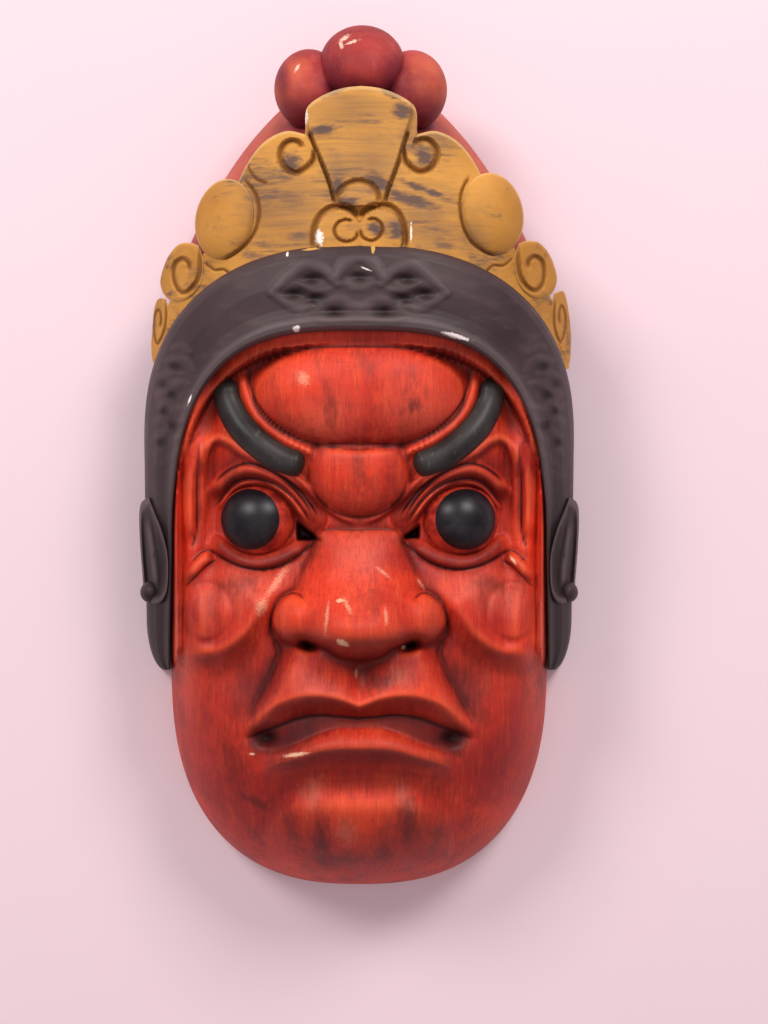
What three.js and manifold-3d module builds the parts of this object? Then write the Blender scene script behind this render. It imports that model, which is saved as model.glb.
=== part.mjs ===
import * as THREE from 'three';
import Module from 'manifold-3d';

// Carved wooden face mask, in mm. +X is the viewer's right, +Y runs up to the topknots, +Z comes out
// of the face. The rim of the back lies on z = 0.
//
// Front sizes are drawn as seen from EYE mm in front, true at DRAWN_AT mm above the rim. A point
// nearer the eye is drawn in towards the viewing axis by place().
const EYE = 722;
const DRAWN_AT = 25;
const AXIS = [12.2, -28.2];
const CENTRE = [0.3, -7.0]; // middle of the finished piece, moved to the origin

// head block
const FACE_HALF = 91.9; // half width of the face at the jaw
const CHIN_DROP = 109.8; // from the widest jaw line down to the chin
const JAW_LINE = -100.7;
const HOOD_LINE = 60;
const HOOD_RISE = 130;
const DEPTH = 84; // rim to the flat of the face
const WALL = 11;

// head band
const BAND_IN = { v: -51.7, a: 91.1, b: 112.2, n: 3 };
const BAND_OUT = { v: 7.1, a: 105.3, b: 95.6, n: 2.4 };
const BAND_LIFT = 105; // front of the band over the brow
const STRAP_END = -105.5;

// crown
const CROWN_LIFT = 98;
const CROWN_HALF = 109;
const CROWN_THICK = 10;

const TAU = 2 * Math.PI;
const clamp = (x, lo, hi) => Math.min(hi, Math.max(lo, x));
const mix = (a, b, t) => a + (b - a) * t;
const ease = (a, b, x) => {
  const t = clamp((x - a) / (b - a), 0, 1);
  return t * t * (3 - 2 * t);
};
const spow = (x, p) => Math.sign(x) * Math.abs(x) ** p;
const soft = (d, w) => Math.exp(-(d * d) / (w * w));
const round = (d, w, p = 0.5) => Math.max(0, 1 - (d / w) ** 2) ** p;

function place(u, v, z) {
  const s = (EYE - z) / (EYE - DRAWN_AT);
  return [AXIS[0] + (u - AXIS[0]) * s - CENTRE[0], AXIS[1] + (v - AXIS[1]) * s - CENTRE[1], z];
}

// smooth curve through a few points, as a list of points
function curve(points, n = 8) {
  const c = new THREE.CatmullRomCurve3(points.map(([x, y]) => new THREE.Vector3(x, y, 0)));
  return c.getPoints(n * (points.length - 1)).map((p) => [p.x, p.y]);
}

// distance from a point to a curve, and how far along it, 0 to 1
function along(u, v, line) {
  let best = 1e9;
  let t = 0;
  for (let i = 0; i + 1 < line.length; i += 1) {
    const [ax, ay] = line[i];
    const [bx, by] = line[i + 1];
    const dx = bx - ax;
    const dy = by - ay;
    const k = clamp(((u - ax) * dx + (v - ay) * dy) / (dx * dx + dy * dy + 1e-9), 0, 1);
    const d = Math.hypot(u - ax - k * dx, v - ay - k * dy);
    if (d < best) {
      best = d;
      t = (i + k) / (line.length - 1);
    }
  }
  return [best, t];
}
function oval(u, v, [cu, cv], ru, rv, turn = 0) {
  const c = Math.cos(turn);
  const s = Math.sin(turn);
  const x = ((u - cu) * c + (v - cv) * s) / ru;
  const y = (-(u - cu) * s + (v - cv) * c) / rv;
  return Math.hypot(x, y);
}

// the bare head block as a height over the rim, before any carving
function block(u, v) {
  const c3 = Math.max(0, 1 - Math.abs(u / FACE_HALF) ** 3) ** (1 / 3);
  let z = DEPTH * c3;
  if (v < JAW_LINE) {
    const w = clamp((JAW_LINE - v) / (CHIN_DROP * c3 + 1e-6), 0, 1);
    z = DEPTH * c3 * (1 - w ** 2.41) ** 0.415;
  }
  return z + 6 * ease(-60, 60, v) * (z / DEPTH);
}

// soft forms of the face, mirrored about the middle
const CHEEK_RIDGE = curve([[-79.9, -101.7], [-67.1, -96.8], [-56.8, -87.0], [-47.5, -73.3], [-36.8, -58.6]]);
const FOLD = curve([[-43.6, -90.9], [-42.6, -102.7], [-49.5, -115.4], [-55.4, -126.7], [-58.3, -135.0]]);
const MOUTH = curve([[-53.4, -137.9], [-42.6, -135.0], [-29.9, -131.1], [-14.2, -129.1], [0.0, -130.1]]);
function form(u, v) {
  const x = -Math.abs(u);
  let h = 5 * soft(oval(x, v, [-40, -2], 34, 13), 1); // brow bone
  h -= 9 * soft(oval(x, v, [-47.5, -33.1], 25, 18), 1); // eye socket
  h += 6 * soft(oval(x, v, [-73.0, -76.2], 16, 15), 1); // cheek boss
  h += 5 * soft(oval(x, v, [-52, -78], 26, 22), 1);
  h -= 5 * soft(oval(x, v, [-67.1, -115.4], 20, 14, 0.6), 1);
  h += 7 * soft(oval(x, v, [0, -125], 42, 26), 1); // muzzle
  h += 8 * soft(oval(x, v, [0.0, -182.0], 42, 22), 1); // chin
  let [d, t] = along(x, v, CHEEK_RIDGE);
  h += 4 * soft(d, 5.5) * Math.sin(Math.PI * clamp(t, 0.08, 0.92));
  [d, t] = along(x, v, FOLD);
  h -= 7 * soft(d, 5) * ease(0, 0.1, t);
  [d, t] = along(x, v, MOUTH);
  h -= 9 * soft(d, 5) * ease(-0.2, 0.12, t);
  h -= 4 * soft(oval(x, v, [0.0, -156.6], 34, 5.5), 1);
  return h;
}
const ground = (u, v) => block(u, v) + form(u, v) * ease(6, 30, block(u, v));

// points on the head block: side is -1 to 1 across, row is -1 chin, 0 jaw, 1 hood line, 2 top
function headPoint(side, row, inset = 0) {
  const th = (side * Math.PI) / 2;
  const a = FACE_HALF - inset;
  const depth = DEPTH - inset;
  let e = 0.667;
  let v = 0;
  let z = 0;
  let u = 0;
  if (row < 0) {
    const psi = ((row + 1) * Math.PI) / 2;
    e = mix(0.8, 0.667, Math.sin(psi));
    const c = spow(Math.cos(th), e);
    v = JAW_LINE - (CHIN_DROP - inset) * c * spow(Math.cos(psi), 0.83);
    z = depth * c * spow(Math.sin(psi), 0.83);
    u = a * spow(Math.sin(th), e);
  } else if (row <= 1) {
    v = mix(JAW_LINE, HOOD_LINE, row);
    z = depth * spow(Math.cos(th), e);
    u = a * spow(Math.sin(th), e);
  } else {
    const psi = ((2 - row) * Math.PI) / 2;
    e = mix(1.25, 0.667, Math.sin(psi) ** 2);
    const c = spow(Math.cos(th), e);
    v = HOOD_LINE + (HOOD_RISE - inset) * c * Math.cos(psi);
    z = depth * c * Math.sin(psi);
    u = a * spow(Math.sin(th), e);
  }
  z += 6 * ease(-60, 60, v) * (z / DEPTH);
  return [u, v, z];
}

// closed triangle bodies from grids of points
function solid(points, triangles) {
  const key = new Map();
  const at = points.map((p) => {
    const k = p.map((c) => Math.round(c * 1e4)).join();
    if (!key.has(k)) key.set(k, [key.size, p]);
    return key.get(k)[0];
  });
  const verts = [...key.values()].flatMap(([, p]) => p);
  const tris = triangles
    .map((t) => t.map((i) => at[i]))
    .filter(([a, b, c]) => a !== b && b !== c && a !== c)
    .flat();
  return new wasm.Manifold(
    new wasm.Mesh({
      numProp: 3,
      vertProperties: new Float32Array(verts),
      triVerts: new Uint32Array(tris),
    }),
  );
}
// rows of points, each row a closed ring, with both ends capped from their middles
function loft(rings, tips = []) {
  const n = rings[0].length;
  const points = rings.flat();
  const tris = [];
  for (let j = 0; j + 1 < rings.length; j += 1) {
    for (let i = 0; i < n; i += 1) {
      const a = j * n + i;
      const b = j * n + ((i + 1) % n);
      tris.push([a, b, b + n], [a, b + n, a + n]);
    }
  }
  const cap = (first, ring, back, tip) => {
    const m = points.length;
    points.push(tip || [0, 1, 2].map((k) => ring.reduce((s, p) => s + p[k], 0) / n));
    for (let i = 0; i < n; i += 1) {
      const b = first + ((i + 1) % n);
      tris.push(back ? [m, b, first + i] : [m, first + i, b]);
    }
  };
  cap(0, rings[0], true, tips[0]);
  cap((rings.length - 1) * n, rings[rings.length - 1], false, tips[1]);
  const made = solid(points, tris);
  return made.volume() > 0 ? made : solid(points, tris.map(([a, b, c]) => [a, c, b]));
}

const wasm = await Module();
wasm.setup();

// a dome over the rim: grid rows from chin to top, closed underneath
function shell(sides, rows, point, floor) {
  const n = sides.length;
  const points = [];
  const tris = [];
  rows.forEach((row, j) => {
    sides.forEach((side, i) => {
      const p = point(side, row);
      const edge = i === 0 || i === n - 1 || j === 0 || j === rows.length - 1;
      points.push([p[0], p[1], edge ? floor : p[2]]);
    });
  });
  for (let j = 0; j + 1 < rows.length; j += 1) {
    for (let i = 0; i + 1 < n; i += 1) {
      const a = j * n + i;
      const b = a + 1;
      tris.push([a, b, b + n], [a, b + n, a + n]);
    }
  }
  // flat underneath: the first and last rows, and the side points between them
  const last = (rows.length - 1) * n;
  for (let i = 0; i + 1 < n / 2; i += 1) {
    const m = n - 1 - i;
    tris.push([i, m, m - 1], [i, m - 1, i + 1]);
    tris.push([last + i, last + m - 1, last + m], [last + i, last + i + 1, last + m - 1]);
  }
  for (let j = 0; j + 1 < rows.length; j += 1) {
    const a = j * n;
    const b = a + n - 1;
    tris.push([a, a + n, b], [b, a + n, b + n]);
  }
  return solid(points, tris);
}

function steps(stops) {
  // [[value, cells], ...]: evenly spaced cells up to each value
  const out = [stops[0][0]];
  for (let k = 1; k < stops.length; k += 1) {
    const [to, cells] = stops[k];
    const from = out[out.length - 1];
    for (let i = 1; i <= cells; i += 1) out.push(mix(from, to, i / cells));
  }
  return out;
}
const acrossHalf = steps([[0, 0], [0.13, 2], [0.5, 6], [0.72, 3], [1, 2]]);
const across = [...acrossHalf.slice(1).map((x) => -x).reverse(), ...acrossHalf];
const upward = steps([[-1, 0], [-0.85, 1], [-0.1, 9], [0, 1], [0.6, 12], [1, 3], [2, 4]]);

const head = shell(
  across,
  upward,
  (side, row) => {
    const [u, v, z] = headPoint(side, row);
    const w = ease(6, 30, z) * ease(70, 55, v);
    return place(u, v, z + form(u, v) * w);
  },
  -2,
);

const hollowAcross = steps([[-1, 0], [1, 14]]);
const hollowUp = steps([[-1, 0], [0, 4], [1, 4], [2, 4]]);
const hollow = shell(
  hollowAcross,
  hollowUp,
  (side, row) => {
    const [u, v, z] = headPoint(side, row, WALL);
    return place(u, v > HOOD_LINE ? mix(HOOD_LINE, v, 0.75) : v, z);
  },
  -6,
);

// a carved swelling on the face: levels are [share of the outline, height over the ground]
function swelling(mid, ru, rv, n, lift, high, sunk = 6, under = ground) {
  const ring = (k, dz) =>
    Array.from({ length: n }, (_, i) => {
      const u = mid[0] + ru * k * Math.cos((TAU * i) / n);
      const v = mid[1] + rv * k * Math.sin((TAU * i) / n);
      return place(u, v, mix(under(u, v), under(...mid), 0.5) + dz);
    });
  const tip = place(...mid, under(...mid) + lift + high);
  return loft([ring(1, lift - sunk), ...[1, 0.85, 0.5].map((k) => ring(k, lift + high * round(k, 1)))], [null, tip]);
}
// a carved bar along a curve, thinning at both ends
function bar(points, cells, half, high, thin = 0.3, flat = 0.6, sunk = 3) {
  const section = flat ? [[-1, -sunk], [-flat, high * 0.9], [flat, high * 0.9], [1, -sunk]] : [[-1, -sunk], [0, high], [1, -sunk]];
  const line = new THREE.CatmullRomCurve3(points.map(([x, y]) => new THREE.Vector3(x, y, 0))).getPoints(cells);
  return loft(
    line.map((p, i) => {
      const q = line[Math.min(i + 1, cells)].clone().sub(line[Math.max(i - 1, 0)]).normalize();
      const k = mix(thin, 1, Math.sin((Math.PI * i) / cells) ** 0.5);
      return section.map(([d, dz]) => {
        const u = p.x - q.y * d * half * k;
        const v = p.y + q.x * d * half * k;
        return place(u, v, ground(p.x, p.y) * 0.5 + ground(u, v) * 0.5 + (dz > 0 ? dz * k : dz));
      });
    }),
  );
}
const both = (points) => [points, points.map(([x, y]) => [-x, y])];

const carved = [];
carved.push(swelling([0.0, 28.7], 51.5, 25.5, 16, 2, 13)); // forehead
carved.push(swelling([-0.5, -13.0], 23.5, 17.5, 14, 2, 12)); // between the brows
// nose: [v, half width, height over the block] down the bridge
const NOSE = [[-32, 13, 3], [-44, 16, 11], [-56, 18, 17], [-68, 20.5, 24], [-79, 23.5, 32], [-89, 24, 35], [-96, 21, 29], [-101, 15, 17]];
carved.push(
  loft(
    NOSE.map(([v, w, h]) =>
      [[-1, -6], [-0.8, 0.5 * h], [-0.4, 0.9 * h], [0, h], [0.4, 0.9 * h], [0.8, 0.5 * h], [1, -6]].map(([k, dz]) =>
        place(w * k - 0.5, v, block(w * k, v) + dz),
      ),
    ),
  ),
);
for (const side of [-1, 1]) {
  const at = ([x, y]) => [side * -x, y];
  carved.push(swelling(at([-49.5, -32.1]), 18, 17.5, 12, -8, 16, 6, block)); // eyeball
  carved.push(swelling(at([-28.9, -81.1]), 13.6, 13.4, 10, 6, 14, 10, block)); // side of the nose
}
const BARS = [
  [[[-65.2, 37.0], [-63.7, 25.7], [-57.8, 14.0], [-47.5, 3.7], [-36.8, -2.7], [-26.9, -4.7]], 9, 6.6, 8, 0.8],
  [[[-73.0, -15.4], [-66.6, -8.6], [-56.4, -5.1], [-45.6, -7.6], [-35.3, -14.5], [-27.4, -22.3], [-21.1, -34.1]], 9, 4, 5, 0.3, 0],
  [[[-68.6, -24.7], [-61.7, -16.9], [-52.4, -14.0], [-41.6, -16.4], [-32.8, -24.3], [-26.9, -34.1]], 7, 3, 5, 0.3, 0],
  [[[-71.0, -43.9], [-64.2, -50.7], [-53.4, -54.6], [-40.2, -54.6], [-28.9, -49.2], [-21.1, -41.9]], 8, 3.6, 4.5, 0.3, 0],
  [[[-54.9, 40.4], [-52.4, 24.7], [-42.6, 12.0], [-30.9, 3.7]], 5, 2.6, 4, 0.3, 0],
  [[[-85.8, -63.9], [-77.9, -55.6], [-71.0, -47.8]], 3, 4, 4, 0.3, 0],
  [[[-76.9, 12.0], [-80.4, -2.7], [-81.8, -22.3], [-83.3, -44.3]], 4, 4, 4, 0.3, 0],
];
for (const [points, ...rest] of BARS) for (const p of both(points)) carved.push(bar(p, ...rest));
const across2 = (points) => [...points, ...points.slice(0, -1).reverse().map(([x, y]) => [-x, y])];
carved.push(bar(across2([[-34.8, -13.5], [-26.5, -17.9], [-19.1, -25.2], [-11.3, -31.1], [0.0, -33.6]]), 10, 3.2, 5, 0.3, 0));
carved.push(bar(across2([[-50.5, -132.1], [-42.6, -124.7], [-31.8, -119.8], [-20.1, -118.8], [-8.3, -121.3], [0.0, -123.7]]), 14, 4.6, 4.5));
carved.push(bar(across2([[-40.7, -149.2], [-28.9, -145.3], [-15.2, -141.9], [0.0, -140.9]]), 12, 5.5, 5.5));

// head band: full-height ring sections from strap end to strap end
const superPoint = (o, angle) => [
  o.a * spow(Math.sin(angle), 2 / o.n),
  o.v + o.b * spow(Math.cos(angle), 2 / o.n),
];
function bandEdges(t) {
  // t is -1 left strap end, 1 right strap end; beyond |t| = 0.72 the straps run straight down
  const s = Math.abs(t);
  const bend = 0.72;
  const side = Math.sign(t) || 1;
  let inner;
  let outer;
  if (s <= bend) {
    inner = superPoint(BAND_IN, ((s / bend) * Math.PI) / 2);
    outer = superPoint(BAND_OUT, ((s / bend) * Math.PI) / 2);
  } else {
    const k = (s - bend) / (1 - bend);
    inner = [mix(91.1, 92.6, k), mix(BAND_IN.v, STRAP_END, k)];
    outer = [105.3 - 1.5 * k - 9.5 * (1 - Math.sqrt(1 - clamp((k - 0.78) / 0.225, 0, 1) ** 2)), mix(BAND_OUT.v, STRAP_END, k)];
  }
  return [[inner[0] * side, inner[1]], [outer[0] * side, outer[1]]];
}
const bandTop = (u, v) =>
  4 + 101 * Math.max(0, 1 - Math.abs(u / 112) ** 2.6) ** (1 / 2.6) - 16 * ease(40, -100, v);
const bandRoll = [[0, -3], [0.12, 1.5], [0.3, -0.3], [0.88, -0.5], [1, -6]];
const bandRings = [];
for (const t of steps([[-1, 0], [-0.97, 1], [-0.9, 1], [-0.72, 1], [0.72, 22], [0.9, 1], [0.97, 1], [1, 1]])) {
  const [inner, outer] = bandEdges(t);
  const at = (w) => [mix(inner[0], outer[0], w), mix(inner[1], outer[1], w)];
  const ring = [place(...at(0), -2)];
  for (const [w, dz] of bandRoll) {
    const [u, v] = at(w);
    ring.push(place(u, v, bandTop(u, v) + dz));
  }
  ring.push(place(...at(1), -2));
  bandRings.push(ring);
}
const band = loft(bandRings);

// crown: a curved plate on the band, wrapping back at the sides
const CROWN_MID = [1.0, 7.1];
const crownTop = (u, v) =>
  CROWN_LIFT * Math.max(0.0001, 1 - Math.abs(u / CROWN_HALF) ** 2.6) ** (1 / 2.6) - 0.09 * Math.max(0, v - 95);
const crownBack = (u, v) => crownTop(u, v) - CROWN_THICK - 14 * Math.abs(u / 105) ** 4;
const bandRadius = (a) =>
  (Math.abs(Math.sin(a) / BAND_OUT.a) ** BAND_OUT.n + Math.abs(Math.cos(a) / BAND_OUT.b) ** BAND_OUT.n) **
  (-1 / BAND_OUT.n);
const PLATE_EDGE = curve([[0, 147.0], [9.5, 151.9], [14, 155.8], [19, 152.4], [25, 141.1], [30, 128.4], [38, 120.5], [52, 116.6], [71, 107.8]], 6);
function plateRadius(deg) {
  const i = PLATE_EDGE.findIndex(([d]) => d >= Math.abs(deg));
  const k = clamp(i, 1, PLATE_EDGE.length - 1);
  const [d0, r0] = PLATE_EDGE[k - 1];
  const [d1, r1] = PLATE_EDGE[k];
  return mix(r0, r1, clamp((Math.abs(deg) - d0) / (d1 - d0), 0, 1));
}
const plateRings = [];
for (const deg of steps([[-71, 0], [-30, 4], [-9, 6], [9, 2], [30, 6], [71, 4]])) {
  const a = (deg * Math.PI) / 180;
  const inner = bandRadius(a) * 0.95;
  const outer = plateRadius(deg);
  const front = [];
  const back = [];
  for (const w of [0, 1]) {
    const r = mix(inner, outer, w);
    const u = CROWN_MID[0] + r * Math.sin(a);
    const v = CROWN_MID[1] + r * Math.cos(a);
    front.push(place(u, v, crownTop(u, v)));
    back.unshift(place(u, v, crownBack(u, v)));
  }
  plateRings.push([...front, ...back]);
}
const plate = loft(plateRings);

// a domed or flat boss over a closed outline: levels are [share of the outline, height over the plate]
function boss(mid, outline, levels, under = CROWN_THICK) {
  const at = (k, dz, base) =>
    outline.map(([x, y]) => {
      const u = mid[0] + x * k;
      const v = mid[1] + y * k;
      return place(u, v, base(u, v) + dz);
    });
  return loft([at(1, -0, (u, v) => crownBack(u, v) + CROWN_THICK - under), ...levels.map(([k, dz]) => at(k, dz, crownTop))]);
}
const ellipse = (ru, rv, n) =>
  Array.from({ length: n }, (_, i) => [ru * Math.cos((TAU * i) / n), rv * Math.sin((TAU * i) / n)]);
const DOME = (h) => [[1, 0], [0.92, h * 0.5], [0.6, h * 0.9]];

// a scroll: a rounded bar winding inward
function scroll(mid, r0, r1, turns, start, way, base, stretch = 1) {
  const rings = [];
  const n = Math.round(turns * 8);
  for (let i = 0; i <= n; i += 1) {
    const k = i / n;
    const a = start + way * TAU * turns * k;
    const r = mix(r0, r1, k ** 0.8);
    const w = mix(1.7, 1.1, k);
    const ring = [];
    for (const [dr, dz] of [[-1, -1.5], [0, 2.2], [1, -1.5]]) {
      const u = mid[0] + (r + dr * w) * Math.cos(a) * stretch;
      const v = mid[1] + (r + dr * w) * Math.sin(a);
      ring.push(place(u, v, crownTop(u, v) + base + dz));
    }
    rings.push(ring);
  }
  return loft(rings);
}

const parts = [];
// side discs, side scroll leaves and the turned-back leaves outside them
parts.push(boss([-65.7, 115.9], ellipse(14.7, 19.4, 14), DOME(6)));
parts.push(boss([65.7, 118.3], ellipse(15.7, 19.4, 14), DOME(6)));
parts.push(boss([-87.7, 90.4], ellipse(9.8, 13.7, 12), [[1, 1]]));
parts.push(boss([87.2, 91.4], ellipse(9.8, 13.7, 12), [[1, 1]]));
parts.push(boss([-96.5, 61.0], ellipse(4.9, 16.2, 10), [[1, 0]]));
parts.push(boss([98.5, 63.0], ellipse(5.4, 18.6, 10), [[1, 0]]));
// fan panel
const FAN_MID = [-0.5, 149.2];
const fan = [];
for (let i = 0; i <= 8; i += 1) {
  const x = mix(-24.5, 24.5, i / 8);
  fan.push([x, -7.3 + Math.sqrt(38.7 ** 2 - x * x)]);
}
fan.push([26.2, 17.1], [25.5, 9.8], [12.2, -25.5], [0, -29.4], [-12.2, -25.5], [-25.5, 9.8], [-26.2, 17.1]);
parts.push(boss(FAN_MID, fan, [[1, 2], [0.95, 3.4]]));
// half disc under the fan, and the two discs with facing scrolls
parts.push(boss([-0.5, 123.2], ellipse(9.8, 9.3, 14), [[1, 3], [0.8, 4.6]]));
parts.push(boss([-9.8, 108.5], ellipse(11.8, 11.8, 14), [[1, 3], [0.9, 4]]));
parts.push(boss([9.8, 108.5], ellipse(11.8, 11.8, 14), [[1, 3], [0.9, 4]]));
parts.push(scroll([-6.9, 110.5], 6.4, 2.0, 1.1, 0.6, 1, 3.5));
parts.push(scroll([7.3, 110.5], 6.4, 2.0, 1.1, Math.PI - 0.6, -1, 3.5));
parts.push(scroll([-29.9, 146.3], 7.8, 2.5, 1.3, 0.5, 1, 0));
parts.push(scroll([29.9, 147.2], 7.8, 2.5, 1.3, Math.PI - 0.5, -1, 0));
parts.push(scroll([-86.7, 91.4], 8.3, 2.5, 1.2, Math.PI / 2, 1, 1, 0.7));
parts.push(scroll([86.7, 92.4], 8.3, 2.5, 1.2, Math.PI / 2, -1, 1, 0.7));

// topknots
function ball([u0, v0], z0, ru, rv, rz, n = 10) {
  const rings = [];
  const m = n / 2 + 1;
  for (let j = 1; j < m; j += 1) {
    const p = (Math.PI * j) / m;
    rings.push(
      ellipse(1, 1, n).map(([c, s]) =>
        place(u0 + ru * Math.sin(p) * c, v0 + rv * Math.cos(p), z0 + rz * Math.sin(p) * s),
      ),
    );
  }
  return loft(rings, [place(u0, v0 + rv, z0), place(u0, v0 - rv, z0)]);
}
parts.push(ball([1.5, 191.3], 52, 20.8, 19.1, 21));
parts.push(ball([-24.5, 179.1], 46, 17.1, 19.6, 18));
parts.push(ball([26.0, 178.6], 46, 17.1, 19.6, 18));

// ears: a cupped leaf on each strap, with a rolled rim and a round lobe
const EAR = [[-103.4, -21.8], [-106.8, -23.8], [-107.8, -31.1], [-107.3, -44.3], [-105.8, -59.0], [-105.3, -69.8], [-100.5, -73.7], [-95.1, -70.3], [-93.6, -60.5], [-94.1, -49.2], [-97.5, -37.5], [-100.5, -28.7]];
const EAR_MID = [-100.9, -49.7];
for (const side of [-1, 1]) {
  const ring = (k, dz, lean) =>
    EAR.map(([x, y]) => {
      const u = mix(EAR_MID[0], x, k);
      return place(-side * u, mix(EAR_MID[1], y, k), 40 + (u + 101) * lean + dz);
    });
  parts.push(loft([ring(0.9, -28, 0), ring(1, -10, 0.4), ring(1, 2, 0.8), ring(0.7, -3, 0.8)]));
  parts.push(ball([side * 101.8, -66.5], 36, 5.1, 5.6, 8, 6));
}

// slits to see through beside each eyeball
const slit = (points) => loft([10, 130].map((z) => points.map(([u, v]) => place(u, v, z))));
const slits = [slit([[-30.4, -42.4], [-20.1, -41.4], [-28.9, -32.6]]), slit([[24.5, -41.4], [30.9, -42.9], [27.9, -37.0]])];

const group = new THREE.Group();
let whole = head.add(band).add(plate);
for (const p of [...carved, ...parts]) whole = whole.add(p);
const cutter = wasm.Manifold.cube([600, 900, 50], true).translate([0, 0, -25]);
whole = whole.subtract(hollow).subtract(cutter);
for (const s of slits) whole = whole.subtract(s);

const mesh = whole.getMesh();
const geometry = new THREE.BufferGeometry();
geometry.setAttribute('position', new THREE.BufferAttribute(new Float32Array(mesh.vertProperties), 3));
geometry.setIndex(new THREE.BufferAttribute(new Uint32Array(mesh.triVerts), 1));
const piece = new THREE.Mesh(geometry, new THREE.MeshStandardMaterial({ color: 0xc9452f, roughness: 0.6 }));
piece.name = 'mask';
group.add(piece);

export default group;
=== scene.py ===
"""Looks of a carved and painted wooden dance mask that lies on its back rim.

Sizes are in millimetres and go to metres when a mesh is made. Front sizes are drawn as seen from
EYE mm in front, true at DRAWN_AT mm over the rim; place() draws nearer points in to the axis.
"""

import math

import bpy
import numpy as np
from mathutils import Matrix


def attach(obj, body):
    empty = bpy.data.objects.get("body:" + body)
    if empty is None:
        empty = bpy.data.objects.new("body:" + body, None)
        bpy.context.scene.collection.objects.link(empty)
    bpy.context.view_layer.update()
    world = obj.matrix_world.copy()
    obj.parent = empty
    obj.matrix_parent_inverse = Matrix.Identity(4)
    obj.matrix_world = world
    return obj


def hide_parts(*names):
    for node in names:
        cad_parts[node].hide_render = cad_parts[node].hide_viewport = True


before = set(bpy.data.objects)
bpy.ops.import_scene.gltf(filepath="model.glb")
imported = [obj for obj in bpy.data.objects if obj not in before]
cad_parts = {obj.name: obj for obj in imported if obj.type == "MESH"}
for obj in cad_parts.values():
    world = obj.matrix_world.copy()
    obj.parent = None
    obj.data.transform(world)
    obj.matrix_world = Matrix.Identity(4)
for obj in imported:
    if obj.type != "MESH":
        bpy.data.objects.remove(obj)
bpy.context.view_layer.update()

# The eye's height over the rim, the height where drawn sizes are true, the drawn point under the
# eye, and the drawn point that is the mask's origin.
EYE, DRAWN_AT = 722.0, 25.0
AXIS, CENTRE = (12.2, -28.2), (0.3, -7.0)

# Head block: half width, chin below the jaw line, hood over the hood line, height of the front and
# its rise to the brow, and the wall round the hollow.
FACE_HALF, CHIN_DROP, JAW_LINE = 91.9, 109.8, -100.7
HOOD_LINE, HOOD_RISE = 60.0, 130.0
DEPTH, BROW_RISE, WALL = 84.0, 6, 11.0
HOLLOW_RISE = 0.75  # share of the hood's rise that the hollow has
UNDER_CROWN = 1.08  # row where the face's grid ends and the hood's begins

# Head band: its edges are superellipses with their middle at row v, half sizes a and b, power n.
BAND_IN = dict(v=-51.7, a=91.1, b=112.2, n=3.0)
BAND_OUT = dict(v=7.1, a=105.3, b=95.6, n=2.4)
STRAP_END = -105.5
CROWN_LIFT, CROWN_HALF, CROWN_THICK = 98.0, 109.0, 10.0
CROWN_MID = [1.0, 7.1]


# Shapes of a number
def place(u, v, z):
    """Drawn (u, v) at height z to the mask's own x, y: drawn in by (EYE - z) / (EYE - DRAWN_AT)."""
    s = (EYE - z) / (EYE - DRAWN_AT)
    x = AXIS[0] + (u - AXIS[0]) * s - CENTRE[0]
    y = AXIS[1] + (v - AXIS[1]) * s - CENTRE[1]
    return np.stack(np.broadcast_arrays(x, y, z), axis=-1)


def mix(a, b, t):
    """Straight blend from a to b."""
    return a + (b - a) * t


def ease(a, b, x):
    """0 at a, 1 at b, with level ends: 3t^2 - 2t^3."""
    t = np.clip((x - a) / (b - a), 0, 1)
    return t * t * (3 - 2 * t)


def spow(x, p):
    """Power that keeps the sign."""
    return np.sign(x) * np.abs(x) ** p


def soft(d, w):
    """Bell of width w."""
    return np.exp(-((d / w) ** 2))


def dome(d, w=1.0, p=0.5):
    """Height of a round back over half width w: (1 - (d/w)^2)^p."""
    return np.maximum(0, 1 - (d / w) ** 2) ** p


def smax(a, b, k):
    """Larger of a and b, rounded over k where they meet."""
    h = np.clip(0.5 + 0.5 * (a - b) / k, 0, 1)
    return mix(b, a, h) + k * h * (1 - h)


def curve(points, n=8):
    """Smooth curve through the points: Catmull-Rom spline, n steps a span."""
    p = np.array(points, float)
    p = np.concatenate([2 * p[:1] - p[1:2], p, 2 * p[-1:] - p[-2:-1]])
    t = (np.arange(n) / n)[None, :, None]
    a, b, c, d = (p[i : len(p) - 3 + i, None] for i in range(4))
    square, cube = 2 * a - 5 * b + 4 * c - d, 3 * b - a - 3 * c + d
    out = 0.5 * (2 * b + (c - a) * t + square * t**2 + cube * t**3)
    return np.concatenate([out.reshape(-1, p.shape[1]), p[-2:-1]])


def along(u, v, line):
    """Distance to a curve, the share of the way along it, and the side (left of travel is plus)."""
    best = np.full(u.shape, 1e9)
    t = np.zeros(u.shape)
    side = np.zeros(u.shape)
    for i in range(len(line) - 1):
        (ax, ay), (bx, by) = line[i], line[i + 1]
        dx, dy = bx - ax, by - ay
        k = np.clip(((u - ax) * dx + (v - ay) * dy) / (dx * dx + dy * dy + 1e-9), 0, 1)
        d = np.hypot(u - ax - k * dx, v - ay - k * dy)
        near = d < best
        best = np.where(near, d, best)
        t = np.where(near, (i + k) / (len(line) - 1), t)
        side = np.where(near, np.sign(dx * (v - ay) - dy * (u - ax)), side)
    return best, t, side


def oval(u, v, mid, ru, rv, turn=0.0):
    """1 on the edge of a turned oval, 0 at its middle."""
    c, s = math.cos(turn), math.sin(turn)
    x, y = u - mid[0], v - mid[1]
    return np.hypot((x * c + y * s) / ru, (-x * s + y * c) / rv)


def levels(stops):
    """Evenly spaced values up to each stop: [(value, steps), ...]."""
    out = [np.array([stops[0][0]], float)]
    for (a, _), (b, n) in zip(stops, stops[1:]):
        out.append(np.linspace(a, b, n + 1)[1:])
    return np.concatenate(out)


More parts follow.
